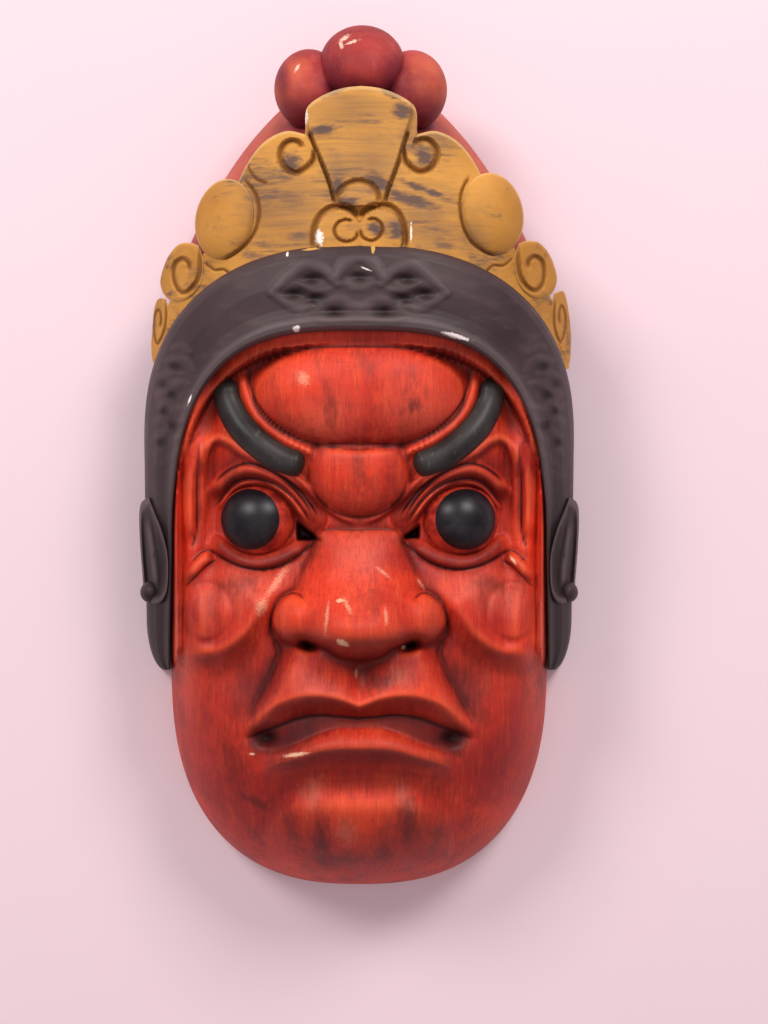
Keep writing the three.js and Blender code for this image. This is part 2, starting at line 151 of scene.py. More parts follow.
# Meshes
def grid_faces(rows, cols, start=0, wrap=False):
    """Quads of a grid of points, columns closed into rings if wrap."""
    i = np.arange(rows * cols).reshape(rows, cols) + start
    a = i[:-1] if wrap else i[:-1, :-1]
    b = np.roll(i, -1, axis=1)[:-1] if wrap else i[:-1, 1:]
    c = np.roll(i, -1, axis=1)[1:] if wrap else i[1:, 1:]
    d = i[1:] if wrap else i[1:, :-1]
    return np.stack([a, b, c, d], axis=-1).reshape(-1, 4)


def make(name, points, faces, paint, attributes=None, sharp=40):
    """A mesh in metres from points in millimetres and quads or triangles. Points a micron apart
    are welded, faces that this folds flat are left out, edges over sharp degrees stay crisp."""
    material, slot = paint
    points = np.asarray(points, float)
    _, first, back = np.unique(np.round(points, 3), axis=0, return_index=True, return_inverse=True)
    back = back.reshape(-1)
    polys = []
    for corners in faces:
        f = back[corners]
        same = (f == np.roll(f, -1, axis=1)).sum(axis=1)
        if f.shape[1] == 4:
            folded = f[same == 1]
            polys.append(folded[folded != np.roll(folded, -1, axis=1)].reshape(-1, 3))
        polys.append(f[same == 0])
    loops = np.concatenate([p.reshape(-1) for p in polys])
    sizes = np.concatenate([np.full(len(p), p.shape[1]) for p in polys])
    mesh = bpy.data.meshes.new(name)
    mesh.vertices.add(len(first))
    mesh.vertices.foreach_set("co", (points[first] / 1000).reshape(-1))
    mesh.loops.add(len(loops))
    mesh.loops.foreach_set("vertex_index", loops.astype(np.int32))
    mesh.polygons.add(len(sizes))
    mesh.polygons.foreach_set("loop_start", (np.cumsum(sizes) - sizes).astype(np.int32))
    mesh.polygons.foreach_set("loop_total", sizes.astype(np.int32))
    mesh.update(calc_edges=True)
    mesh.validate()
    for key, values in (attributes or {}).items():
        layer = mesh.attributes.new(key, "FLOAT", "POINT")
        layer.data.foreach_set("value", np.asarray(values, np.float32).reshape(-1)[first])
    mesh.shade_smooth()
    mesh.set_sharp_from_angle(angle=math.radians(sharp))
    mesh.materials.append(material)
    piece = bpy.data.objects.new(name, mesh)
    bpy.context.scene.collection.objects.link(piece)
    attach(piece, "root")
    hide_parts("mask")


def zip_edges(a, b):
    """Triangles between a fine row of points a and a coarser row b, by nearest share of the way."""
    n, m = len(a), len(b)
    near = np.round((np.arange(n - 1) + 0.5) * (m - 1) / (n - 1)).astype(int)
    near[0], near[-1] = 0, m - 1
    tris = [np.stack([a[:-1], a[1:], b[near]], axis=1)]
    for step in range(1, int(np.diff(near).max()) + 1):
        k = np.nonzero(np.diff(near) >= step)[0]
        tris.append(np.stack([a[k + 1], b[near[k] + step], b[near[k] + step - 1]], axis=1))
    return np.concatenate(tris)


def loft(name, rings, paint, tips=(None, None), attributes=None, sharp=40):
    """Rings of points joined in order, each closed, with the two ends closed to a point. Turned
    over if its volume comes out below zero."""
    rings = np.asarray(rings, float)
    rows, cols = rings.shape[:2]
    ends = [rings[k].mean(axis=0) if tip is None else tip for k, tip in zip((0, -1), tips)]
    points = np.concatenate([rings.reshape(-1, 3), np.array(ends)])
    quads = grid_faces(rows, cols, wrap=True)
    n, i = rows * cols, np.arange(cols)
    j = (i + 1) % cols
    low = np.stack([np.full(cols, n), j, i], axis=1)
    high = np.stack([np.full(cols, n + 1), n - cols + i, n - cols + j], axis=1)
    halves = np.concatenate([quads[:, :3], quads[:, [0, 2, 3]], low, high])
    a, b, c = points[halves].transpose(1, 0, 2)
    if (a * np.cross(b, c)).sum() < 0:
        quads, low, high = quads[:, ::-1], low[:, ::-1], high[:, ::-1]
    looks = {k: np.concatenate([w.reshape(-1), [0, 0]]) for k, w in (attributes or {}).items()}
    make(name, points, [quads, low, high], paint, looks, sharp)


# Paints
def colour(code):
    """sRGB hex to linear red, green, blue, alpha."""
    c = [int(code[i : i + 2], 16) / 255 for i in (1, 3, 5)]
    return (*[x / 12.92 if x <= 0.04045 else ((x + 0.055) / 1.055) ** 2.4 for x in c], 1)


def both_sides(*patches):
    """The patches and their mirror images."""
    return [(s * u, v, z, ru, rv, s * turn) for u, v, z, ru, rv, turn in patches for s in (1, -1)]


def ends(start, full, low, high):
    """Inputs of a value that runs straight from low at start to high at full, level beyond."""
    return {"From_Min": start, "From_Max": full, "To_Min": low, "To_Max": high}


class Paint:
    """One painted finish, laid wash over wash on Object coordinates, which are in metres."""

    FAR = 5.0  # half sizes out from the middle of a patch, where its distance stops counting

    def __init__(self, name, slot, ground, roughness, specular, ior=1.45):
        self.material = bpy.data.materials.new(name)
        self.material.use_nodes = True
        self.slot, self.tree = slot, self.material.node_tree
        self.shader = self.tree.nodes["Principled BSDF"]
        self.shader.inputs["Roughness"].default_value = roughness
        self.shader.inputs["IOR"].default_value = ior
        self.shader.inputs["Specular IOR Level"].default_value = specular
        self.at = self.node("ShaderNodeTexCoord").outputs["Object"]
        self.ground(ground)

    def node(self, kind, settings=None, links=None, **inputs):
        """Adds a node: settings are its own properties, links join sockets by name or number."""
        n = self.tree.nodes.new(kind)
        for key, value in (settings or {}).items():
            setattr(n, key, value)
        for key, value in inputs.items():
            n.inputs[key.replace("_", " ")].default_value = value
        for key, source in (links or {}).items():
            self.tree.links.new(source, n.inputs[key])
        return n

    def ground(self, shade):
        """Starts the colour afresh."""
        base = self.node("ShaderNodeRGB")
        base.outputs[0].default_value = colour(shade)
        self.tint = base.outputs[0]

    def grain(self, cells, detail=4.0, rough=0.6, squeeze=(1, 1, 1), shift=(0, 0, 0)):
        """Uneven marks, so many to a metre, drawn out along an axis by a squeeze under 1."""
        links = {"Vector": self.at}
        at = self.node("ShaderNodeMapping", None, links, Scale=squeeze, Location=shift)
        marks = {"Scale": cells, "Detail": detail, "Roughness": rough}
        return self.node("ShaderNodeTexNoise", None, {"Vector": at.outputs[0]}, **marks).outputs[0]

    def wash(self, shade, where, start, full, amount=1.0, first=0.0):
        """Lays a colour over the last, from the first amount at start to this amount at full.
        where is a pattern, or the name of a number kept on the mesh's points."""
        if isinstance(where, str):
            where = self.node("ShaderNodeAttribute", {"attribute_name": where}).outputs["Fac"]
        run = ends(start, full, first, amount)
        much = self.node("ShaderNodeMapRange", None, {"Value": where}, **run).outputs[0]
        laid = self.node("ShaderNodeMix", {"data_type": "RGBA"}, {0: much, 6: self.tint})
        laid.inputs[7].default_value = colour(shade)
        self.tint = laid.outputs[2]

    def only(self, where, under):
        """Keeps the colour so far only as far as where says, over the colour under it."""
        links = {0: where, 6: under, 7: self.tint}
        self.tint = self.node("ShaderNodeMix", {"data_type": "RGBA"}, links).outputs[2]

    def spots(
        self, shade, amount, patches, wobble=0.7, edge=0.25, grit=600, squeeze=(1, 1, 1), reach=1000
    ):
        """Lays a colour on in uneven oval patches seen from the front: middle u, v and height, two
        half sizes and a turn each, in mm, to a reach in depth. Each is a spherical gradient, which
        gives the distance in half sizes; marks of that grit move the edges by wobble. A gradient
        takes the mapped point as it is, so a paint can have any number of patches."""
        near = None
        for u, v, z, ru, rv, turn in patches:
            m = self.node("ShaderNodeMapping", {"vector_type": "TEXTURE"}, {"Vector": self.at})
            m.inputs["Location"].default_value = place(u, v, z) / 1000
            m.inputs["Rotation"].default_value = (0, 0, turn)
            m.inputs["Scale"].default_value = [k * self.FAR / 1000 for k in (ru, rv, reach)]
            links = {"Vector": m.outputs[0]}
            patch = self.node("ShaderNodeTexGradient", {"gradient_type": "SPHERICAL"}, links)
            fac = patch.outputs["Fac"]
            if near is not None:
                links = {0: near, 1: fac}
                fac = self.node("ShaderNodeMath", {"operation": "MAXIMUM"}, links).outputs[0]
            near = fac
        off = self.node("ShaderNodeMapRange", None, {"Value": near}, **ends(0, 1, self.FAR, 0))
        links = {0: self.grain(grit, 3, 0.6, squeeze), 2: off.outputs[0]}
        away = self.node("ShaderNodeMath", {"operation": "MULTIPLY_ADD"}, links)
        away.inputs[1].default_value = wobble
        limit = 1 + wobble / 2
        self.wash(shade, away.outputs[0], limit + edge, limit - edge, amount)

    def bare_inside(self):
        """Bare gouged wood in the hollow, its grain up and down and browned by handling."""
        coat = self.tint
        self.ground("#6E4A2E")
        self.wash("#A67C52", self.grain(240, 5, 0.65, (1.0, 0.06, 0.6)), 0.3, 0.7)
        self.wash("#4A3120", self.grain(70, 2, 0.4, (1.0, 0.35, 1.0), (7, 0, 0)), 0.48, 0.62, 0.7)
        inside = self.node("ShaderNodeAttribute", {"attribute_name": "inside"}).outputs["Fac"]
        self.only(inside, coat)

    def finish(self, marks=None, strength=0, deep=0):
        """Joins the colour to the shader, and the brush marks as a bump so many metres deep."""
        self.tree.links.new(self.tint, self.shader.inputs["Base Color"])
        if marks is not None:
            sizes = {"Strength": strength, "Distance": deep}
            b = self.node("ShaderNodeBump", None, {"Height": marks}, **sizes)
            self.tree.links.new(b.outputs[0], self.shader.inputs["Normal"])
        return self.material, self.slot


def vermilion_paint():
    """Vermilion paint brushed on carved wood: streaks run up and down, a dark glaze and
    painted shade lie in the hollows and under overhangs, and the orange on the ridges and on
    slopes that face up is painted highlight. The hollow behind is left as bare wood."""
    p = Paint("vermilion_paint_glazed_dark", "red_paint", "#AE2218", 0.5, 0.33)
    broad = p.grain(22, 4, 0.6)
    streak = p.grain(300, 5, 0.72, (1.0, 0.08, 0.3))
    fine = p.grain(1000, 3, 0.7, (1.0, 0.07, 0.4), (3, 1, 0))
    p.wash("#DA391D", broad, 0.34, 0.6)
    p.wash("#F0602F", streak, 0.48, 0.74, 0.5)
    p.spots("#7E1C1C", 0.55, [
        (-54.4, -115.4, 85, 13, 16, -0.4), (54.4, -115.4, 85, 13, 16, 0.4),
        (17.6, -106.6, 88, 10, 6, 0.3), (-53.4, -169.3, 75, 14, 12, 0.3),
        (22.5, -186.4, 84, 7, 20, 0.1), (-20.1, -192.8, 84, 5, 16, 0.0),
        (54.4, -149.7, 75, 12, 14, 0.0), (-73.0, -90.9, 66, 12, 6, 0.5),
        (-36.3, -164.4, 84, 9, 7, 0.6),
    ], wobble=1.6, edge=0.9, grit=170)
    # painted shade under the brows, at the inner eye corners, under the eyes and under the lower
    # lip; these patches also darken the cheek bosses, the jowls and round the chin
    p.spots("#7A1B1E", 0.5, both_sides(
        (-77.9, -137.4, 70, 17, 26, 0.3), (-47.5, -18.4, 88, 27, 13, -0.3),
        (-47.5, -51.7, 86, 26, 6, 0.1), (-27.4, -46.8, 90, 3.5, 14, -0.55),
        (-75.5, -73.3, 62, 13, 15, 0.0),
    ) + [
        (-28.9, -191.3, 78, 26, 13, 0.2), (32.3, -191.3, 78, 26, 13, -0.2),
        (0.0, -199.7, 70, 36, 9, 0.0), (0.0, -152.1, 90, 32, 5, 0.0),
    ], wobble=1.4, edge=1.0, grit=110)
    # painted sheen: pale pink patches on the cheeks, the face's sides, the nose bridge, the
    # forehead and the upper lip
    p.spots("#DE6A54", 0.4, [
        (-60.3, -65.4, 80, 16, 7, 0.2), (62.2, -66.4, 80, 16, 7, -0.2),
        (-86.7, -90.9, 50, 5, 26, 0.0), (87.2, -90.9, 50, 5, 26, 0.0),
        (0.0, -44.3, 100, 9, 16, 0.0), (-18.1, 14.5, 104, 12, 9, 0.3),
        (29.9, 21.8, 104, 12, 9, -0.3), (-22.1, -114.4, 92, 9, 5, -0.4),
    ], wobble=1.6, edge=0.9, grit=130)
    p.wash("#5B1512", fine, 0.5, 0.74, 0.5)
    smudge = p.grain(75, 6, 0.72, (1.0, 0.45, 0.6), (1, 4, 2))
    p.wash("#6A1A18", smudge, 0.5, 0.68, 0.55)
    cross = p.grain(800, 2, 0.6, (0.08, 1.0, 0.4), (2, 7, 0))
    p.wash("#7A1F1A", cross, 0.6, 0.76, 0.3)
    # painted highlight: orange on the proud ridges and on slopes that face up to the light
    p.wash("#F0623A", "painted_highlight", 0.1, 1, 0.7)
    # painted shade, with dark glaze, in the hollows, on slopes that face the chin, on the inner lip
    # and the lower lids
    p.wash("#54100F", "hollow", 0.05, 0.9, 0.9)
    # painted shade, near black, in the groove lines, pits, mouth line and eye openings
    p.wash("#150809", "line", 0.12, 0.85, 0.9)
    p.spots("#C08A76", 0.2, [
        (-23.5, -168.8, 88, 4, 7, -0.3), (22.5, -172.2, 88, 3, 7, 0.4),
        (-6.9, -188.9, 88, 4, 6, 0.0), (19.1, -108.5, 90, 4, 3.5, 0.3),
    ], wobble=3.6, edge=0.6, grit=900, squeeze=(1, 0.14, 0.4))
    p.spots("#3A1416", 0.6, [
        (-36.3, -144.8, 86, 9, 4, 0.6), (-28.9, -137.4, 86, 8, 3.5, 0.5),
        (-50.5, -142.3, 82, 6, 3, 0.2), (47.0, -142.3, 82, 7, 4, -0.3),
        (-19.1, -193.8, 80, 3, 12, 0.0), (24.0, -183.0, 86, 4, 10, 0.0),
        (27.4, 24.3, 104, 3, 2.4, 0.6), (-51.0, -171.7, 70, 7, 2, -0.4),
        (-47.5, -115.4, 84, 4, 14, -0.45), (50.5, -115.4, 84, 4, 14, 0.45),
        (-26.0, -52.7, 92, 2, 8, -0.5), (26.5, -52.7, 92, 2, 8, 0.5),
        (8.8, -111.5, 90, 7, 3.5, 0.2),
    ], wobble=2.6, edge=0.6, grit=420, squeeze=(1, 0.3, 0.5))
    p.spots("#4E1715", 0.5, [
        (-36.3, -51.7, 84, 9, 2, 0.4), (-64.2, -12.5, 84, 3, 7, -0.6),
        (-60.3, -63.9, 80, 9, 3, 0.3), (65.2, -63.9, 80, 9, 3, -0.3), (-33.8, -32.1, 84, 4, 6, 0.3),
        (-56.8, -115.4, 76, 5, 12, -0.3), (56.8, -115.4, 76, 5, 12, 0.3),
        (-63.2, -149.7, 72, 4, 10, 0.2), (-6.9, -203.6, 76, 10, 3, 0.0),
        (12.7, -199.7, 78, 4, 9, 0.0), (-33.8, -186.4, 78, 3, 10, 0.2),
        (39.7, -193.8, 76, 5, 9, -0.2), (-14.2, 21.8, 104, 2, 8, 0.1), (0.0, -7.6, 104, 3, 6, 0.0),
        (47.0, 51.2, 100, 8, 2, -0.2), (-43.6, 50.2, 98, 8, 2, 0.2),
    ], wobble=3.4, edge=0.8, grit=380, squeeze=(1, 0.35, 0.5))
    p.spots("#EFC9A2", 0.7, [
        (-31.4, -148.2, 93, 5.4, 0.8, 0.22), (-8.3, -92.9, 117, 2.6, 1.3, -0.4),
        (-9.8, -72.3, 116, 1.4, 0.8, 0.2), (-53.4, -148.7, 84, 1.2, 0.5, 0.0),
        (22.1, -96.8, 108, 0.9, 0.9, 0.5), (76.4, -52.2, 80, 0.6, 2.0, 0.6),
    ], wobble=2.4, grit=1300)
    p.spots("#E9B692", 0.42, [
        (-16.2, -80.6, 116, 0.7, 5.5, -0.1), (-5.9, -74.7, 116, 0.8, 2.8, 0.5),
        (11.8, -58.6, 112, 3.0, 0.6, -0.7), (13.2, -79.6, 116, 0.7, 3.2, 0.1),
        (-1.5, -107.6, 92, 0.6, 1.8, 0.0), (30.4, -63.9, 100, 0.6, 2.4, 0.6),
        (-27.4, 37.5, 103, 2.0, 2.6, 0.6), (-40.7, -62.5, 88, 1.3, 6.5, -0.6),
        (-47.5, -74.2, 86, 2.2, 3.2, -0.4),
    ], wobble=4.2, edge=0.5, grit=1500)
    p.bare_inside()
    rough = p.node("ShaderNodeMapRange", None, {"Value": streak}, **ends(0.3, 0.7, 0.44, 0.62))
    p.tree.links.new(rough.outputs[0], p.shader.inputs["Roughness"])
    return p.finish(streak, 0.5, 0.0007)


def rose_red_paint():
    """Rose-red paint on the hood and topknots, brushed round the forms, with painted highlights on
    the topknots and the hood's sides and painted shade low between and under the topknots, rubbed
    to cream on the proudest knot."""
    p = Paint("rose_red_paint_on_hood", "red_paint", "#7E2427", 0.55, 0.2)
    broad = p.grain(30, 4, 0.6)
    streak = p.grain(330, 5, 0.7, (0.5, 0.3, 1.0))
    p.wash("#A43A36", broad, 0.34, 0.62)
    p.wash("#C8584A", streak, 0.54, 0.78, 0.6)
    p.wash("#5E1E2A", p.grain(700, 4, 0.7, (0.4, 0.2, 1.0)), 0.56, 0.78, 0.45)
    # painted highlight on the topknots and the hood's sides
    p.spots("#CC6446", 0.7, [
        (-67.1, 132.1, 20, 16, 26, -0.5), (-44.6, 160.0, 26, 10, 18, -0.8),
        (62.2, 138.4, 20, 18, 30, 0.5), (45.6, 163.9, 26, 12, 18, 0.7),
        (35.8, 190.4, 58, 8, 7, 0.0), (-30.9, 187.4, 58, 5, 6, 0.0),
    ], wobble=1.4, edge=0.8, grit=160)
    # painted shade low between and under the topknots
    p.spots("#5E1B30", 0.75, [
        (-12.2, 179.6, 62, 5, 11, 0.3), (15.2, 180.6, 62, 5, 11, -0.3),
        (-30.9, 164.9, 50, 13, 7, -0.4), (34.8, 164.9, 50, 13, 7, 0.4),
        (1.5, 175.7, 66, 18, 5, 0.0), (-37.2, 181.5, 50, 3, 10, 0.2),
    ], wobble=0.8, edge=0.8, grit=120, reach=20)
    p.spots("#E9C9B4", 0.8, [
        (-7.3, 205.1, 68, 2.4, 1.2, 0.7), (-8.8, 201.1, 68, 0.8, 2.4, 0.2),
        (-3.4, 203.1, 71, 2.6, 0.7, 0.3), (-30.4, 189.4, 60, 0.7, 2.2, -0.4),
    ], wobble=3.4, grit=900, reach=16)
    p.bare_inside()
    return p.finish(streak, 0.35, 0.0006)


def charcoal_paint():
    """Charcoal paint, satin from handling, with painted shade in the cut hollows, darker down the
    straps, a painted highlight on the ridges and the rolled lip, and chipped to the white ground
    at a few edges."""
    p = Paint("charcoal_paint_on_band", "black_paint", "#281C1D", 0.5, 0.3)
    broad = p.grain(26, 4, 0.55)
    streak = p.grain(160, 4, 0.6, (0.35, 1.0, 0.5))
    p.wash("#3F2F30", broad, 0.32, 0.62, first=0.2)
    p.wash("#5A4A4A", streak, 0.52, 0.8, 0.5)
    # painted highlight on the carved ridges, the band's rolled lip and the ears' rims
    p.wash("#6E6163", "painted_highlight", 0.1, 1, 0.5)
    # painted shade in the cut hollows and the ears' cups; the straps also darken towards their ends
    p.wash("#19100F", "hollow", 0.1, 1, 0.9)
    p.spots("#F1E8E4", 1.0, [
        (-30.4, 61.0, 100, 1.5, 1.2, 0.3), (-34.8, 97.3, 96, 0.5, 1.3, 0.0),
        (47.5, 57.6, 100, 6.0, 0.9, -0.25), (-82.8, 26.7, 84, 0.5, 2.2, -0.4),
        (3.4, 90.4, 103, 2.4, 0.3, -0.4),
    ], wobble=1.6, grit=900)
    p.spots("#C79A4E", 1.0, [
        (6.9, 100.2, 99, 0.8, 2.6, 0.0), (-23.5, 100.2, 99, 3.4, 0.8, 0.1),
    ], wobble=1.0)
    return p.finish(streak, 0.25, 0.0005)


def brow_paint():
    """Grey-black paint of the brows, with a green cast, scratched pale along the tops."""
    p = Paint("grey_black_paint_on_brows", "black_paint", "#201C1B", 0.46, 0.35)
    streak = p.grain(260, 5, 0.7, (1.0, 0.5, 0.5))
    p.wash("#34312F", p.grain(40, 4, 0.6), 0.35, 0.6)
    p.wash("#6A6A5E", streak, 0.6, 0.85, 0.7)
    return p.finish(streak, 0.25, 0.0005)


def ochre_gold_paint():
    """Ochre-gold paint, matt, laid in level dry strokes over a dark ground that shows in patches;
    brown painted shade in the cut grooves and a pale painted highlight along the edges."""
    p = Paint("ochre_gold_paint", "gold_paint", "#B07A34", 0.62, 0.25)
    broad = p.grain(18, 5, 0.6)
    strokes = p.grain(420, 5, 0.7, (0.06, 1.0, 0.5))
    patches = p.grain(60, 4, 0.65, (0.55, 1.0, 1.0), (5, 2, 0))
    p.wash("#CB9142", broad, 0.35, 0.62)
    dry = p.node("ShaderNodeMapRange", None, {"Value": strokes}, **ends(0.42, 0.60, 0, 1))
    worn = p.node("ShaderNodeMapRange", None, {"Value": patches}, **ends(0.50, 0.62, 0, 0.75))
    links = {0: dry.outputs[0], 1: worn.outputs[0]}
    dry = p.node("ShaderNodeMath", {"operation": "MULTIPLY"}, links)
    p.wash("#5A4843", dry.outputs[0], 0, 1)
    p.spots("#46393F", 0.85, [
        (21.1, 167.8, 90, 4, 3.6, 0.0), (-17.1, 158.5, 90, 6, 1.8, 0.2),
        (10.3, 132.5, 95, 5.5, 3, -0.5), (-10.3, 132.5, 95, 2.4, 3.4, 0.0),
        (31.8, 145.8, 92, 4, 4, 0.0), (-33.3, 142.8, 92, 4, 4, 0.0),
        (18.1, 109.5, 98, 3.2, 4.2, 0.0), (7.8, 110.5, 98, 3.0, 2.6, 0.0),
        (-5.4, 123.7, 98, 5, 2, 0.0), (-12.7, 176.6, 88, 5, 1.4, 0.4),
        (16.2, 175.7, 88, 5, 2, -0.4), (25.0, 124.7, 93, 12, 2.4, -0.3),
        (32.3, 129.6, 93, 11, 1.4, -0.35),
    ], wobble=3.0, edge=0.5, grit=520, squeeze=(0.35, 1, 0.5))
    p.spots("#5A4843", 0.5, [
        (-33.8, 120.8, 93, 13, 12, 0.1), (-47.5, 122.3, 90, 7, 10, 0.2),
        (-4.4, 167.8, 90, 14, 8, 0.0), (6.4, 141.9, 92, 12, 14, 0.0), (-11.3, 137.0, 92, 6, 9, 0.0),
        (32.3, 117.4, 93, 12, 12, -0.2), (25.0, 154.1, 90, 5, 8, 0.0),
        (-62.2, 138.4, 86, 9, 3, -0.6), (-28.9, 105.1, 96, 6, 5, 0.0), (39.7, 154.1, 88, 6, 4, 0.0),
        (54.4, 105.1, 86, 5, 6, 0.0),
    ], wobble=4.0, edge=1.1, grit=430, squeeze=(0.07, 1, 0.5))
    # painted shade, brown, in the cut grooves
    p.wash("#7C4E1E", "hollow", 0.1, 0.9, 0.85)
    # painted highlight, pale, along the cut edges
    p.wash("#DDBB80", "painted_highlight", 0.5, 1, 0.4)
    p.spots("#F3E9DF", 0.9, [
        (-19.6, 106.1, 98, 1.8, 3.2, 0.1), (25.5, 109.0, 96, 0.4, 4.5, 0.0),
        (-26.0, 165.9, 90, 0.8, 4, 0.1),
    ], wobble=2.2, grit=800)
    return p.finish(strokes, 0.35, 0.0005)


def eye_paint():
    """Vermilion ball with a glossy black disc painted on it, its edge a circle on the front."""
    p = Paint("eyeball_paint_vermilion_and_black", "red_paint", "#0E0B10", 0.4, 0.4)
    p.wash("#2B272F", p.grain(60, 4, 0.65), 0.46, 0.72)
    black = p.tint
    p.ground("#7E1E1A")
    p.wash("#C23A26", p.grain(120, 4, 0.6), 0.4, 0.6)
    xyz = p.node("ShaderNodeSeparateXYZ", None, {"Vector": p.at}).outputs
    side = p.node("ShaderNodeMath", {"operation": "ABSOLUTE"}, {0: xyz[0]}).outputs[0]
    flat = p.node("ShaderNodeCombineXYZ", None, {0: side, 1: xyz[1]}).outputs[0]
    away = p.node("ShaderNodeVectorMath", {"operation": "DISTANCE"}, {0: flat})
    away.inputs[1].default_value = (*place(52.4, -31.8, 85.0)[:2] / 1000, 0)
    links = {"Value": away.outputs["Value"]}
    edge = p.node("ShaderNodeMapRange", None, links, **ends(0.0136, 0.0139, 0, 1))
    p.only(edge.outputs[0], black)
    return p.finish()


RED = vermilion_paint()
HOOD_RED = rose_red_paint()
BLACK = charcoal_paint()
BROW_BLACK = brow_paint()
GOLD = ochre_gold_paint()
EYE_PAINT = eye_paint()


# Head block
def head_point(side, row, inset=0.0):
    """Drawn point on the head block. side -1 to 1 runs across, row -1 is the chin's rim, 0 the jaw
    line, 1 the hood line, 2 the top's rim. Across it is a superellipse; the chin and the hood are
    quarter turns of it about the side points."""
    th = side * math.pi / 2
    psi = np.where(row < 0, row + 1, np.where(row > 1, 2 - row, 1.0)) * math.pi / 2
    sp, cp = np.sin(psi), np.cos(psi)
    e = np.where(row < 0, mix(0.8, 0.667, sp), np.where(row > 1, mix(1.25, 0.667, sp**2), 0.667))
    c = np.abs(np.cos(th)) ** e
    u = (FACE_HALF - inset) * spow(np.sin(th), e)
    low = JAW_LINE - (CHIN_DROP - inset) * c * np.abs(cp) ** 0.83
    high = HOOD_LINE + (HOOD_RISE - inset) * c * cp
    straight = mix(JAW_LINE, HOOD_LINE, np.clip(row, 0, 1))
    v = np.where(row < 0, low, np.where(row > 1, high, straight))
    z = (DEPTH - inset) * c * np.where(row < 0, np.abs(sp) ** 0.83, np.where(row > 1, sp, 1.0))
    return u, v, z + BROW_RISE * ease(-60, 60, v) * (z / DEPTH)


def block(u, v):
    """Height of the bare head block over the rim at a drawn point."""
    c = np.maximum(0, 1 - np.abs(u / FACE_HALF) ** 3) ** (1 / 3)
    w = np.clip((JAW_LINE - v) / (CHIN_DROP * c + 1e-6), 0, 1)
    z = DEPTH * c * np.where(v < JAW_LINE, (1 - w**2.41) ** 0.415, 1.0)
    return z + BROW_RISE * ease(-60, 60, v) * (z / DEPTH)


# ---------------------------------------------------------------- carving of the face
# Nose, down the middle: row, half width at the foot, height over the block.
NOSE = curve([
    [-33.3, 15.2, -2], [-36.3, 16.7, 1.0], [-40.2, 19.1, 5], [-46.5, 22.1, 9.5],
    [-52.9, 25.0, 12.5], [-61.2, 29.9, 16.5], [-67.6, 32.3, 21], [-73.5, 33.3, 25.5],
    [-79.9, 33.8, 30], [-85.3, 32.3, 32.5], [-90.2, 28.9, 31.5], [-94.1, 24.5, 27],
    [-97.0, 19.6, 20.5], [-99.5, 14.7, 12], [-101.4, 9.8, 3], [-102.9, 5.9, -6],
], 6).T
# Mouth: distance from the middle, then the rows of the nose's foot, upper lip's edge, mouth line,
# inner lower lip, lower lip's edge and the groove over the chin, each with its height over the
# block.
LIPS = curve([
    [0, -100.5, 3, -123.7, 12.5, -129.4, 2.0, -134.3, 4.0, -144.3, 13.5, -157.3, 1.5],
    [9.8, -99.5, 6, -119.8, 14.5, -128.6, 2.0, -134.3, 4.0, -144.3, 13.5, -157.3, 1.5],
    [19.6, -97.0, 7, -118.1, 15, -127.9, 1.5, -136.7, 3.5, -145.5, 12.5, -157.8, 1.2],
    [29.4, -95.1, 7, -118.6, 13.5, -129.4, 1.0, -141.1, 3.0, -148.5, 10.5, -158.8, 0.8],
    [39.2, -95.1, 6, -121.8, 11, -133.0, 0.0, -144.6, 1.5, -150.9, 6.5, -160.7, 0.5],
    [46.5, -96.5, 5, -125.9, 8.5, -135.7, -1.5, -147.5, 0.5, -153.4, 2.8, -162.2, 0.8],
    [52.9, -99.5, 4, -130.3, 6, -138.2, -2, -149.0, 0, -154.3, 1.0, -163.7, 1],
    [61.2, -102.9, 3, -133.3, 4, -140.1, 0, -149.9, 0, -155.8, 0.5, -165.1, 1],
], 5).T
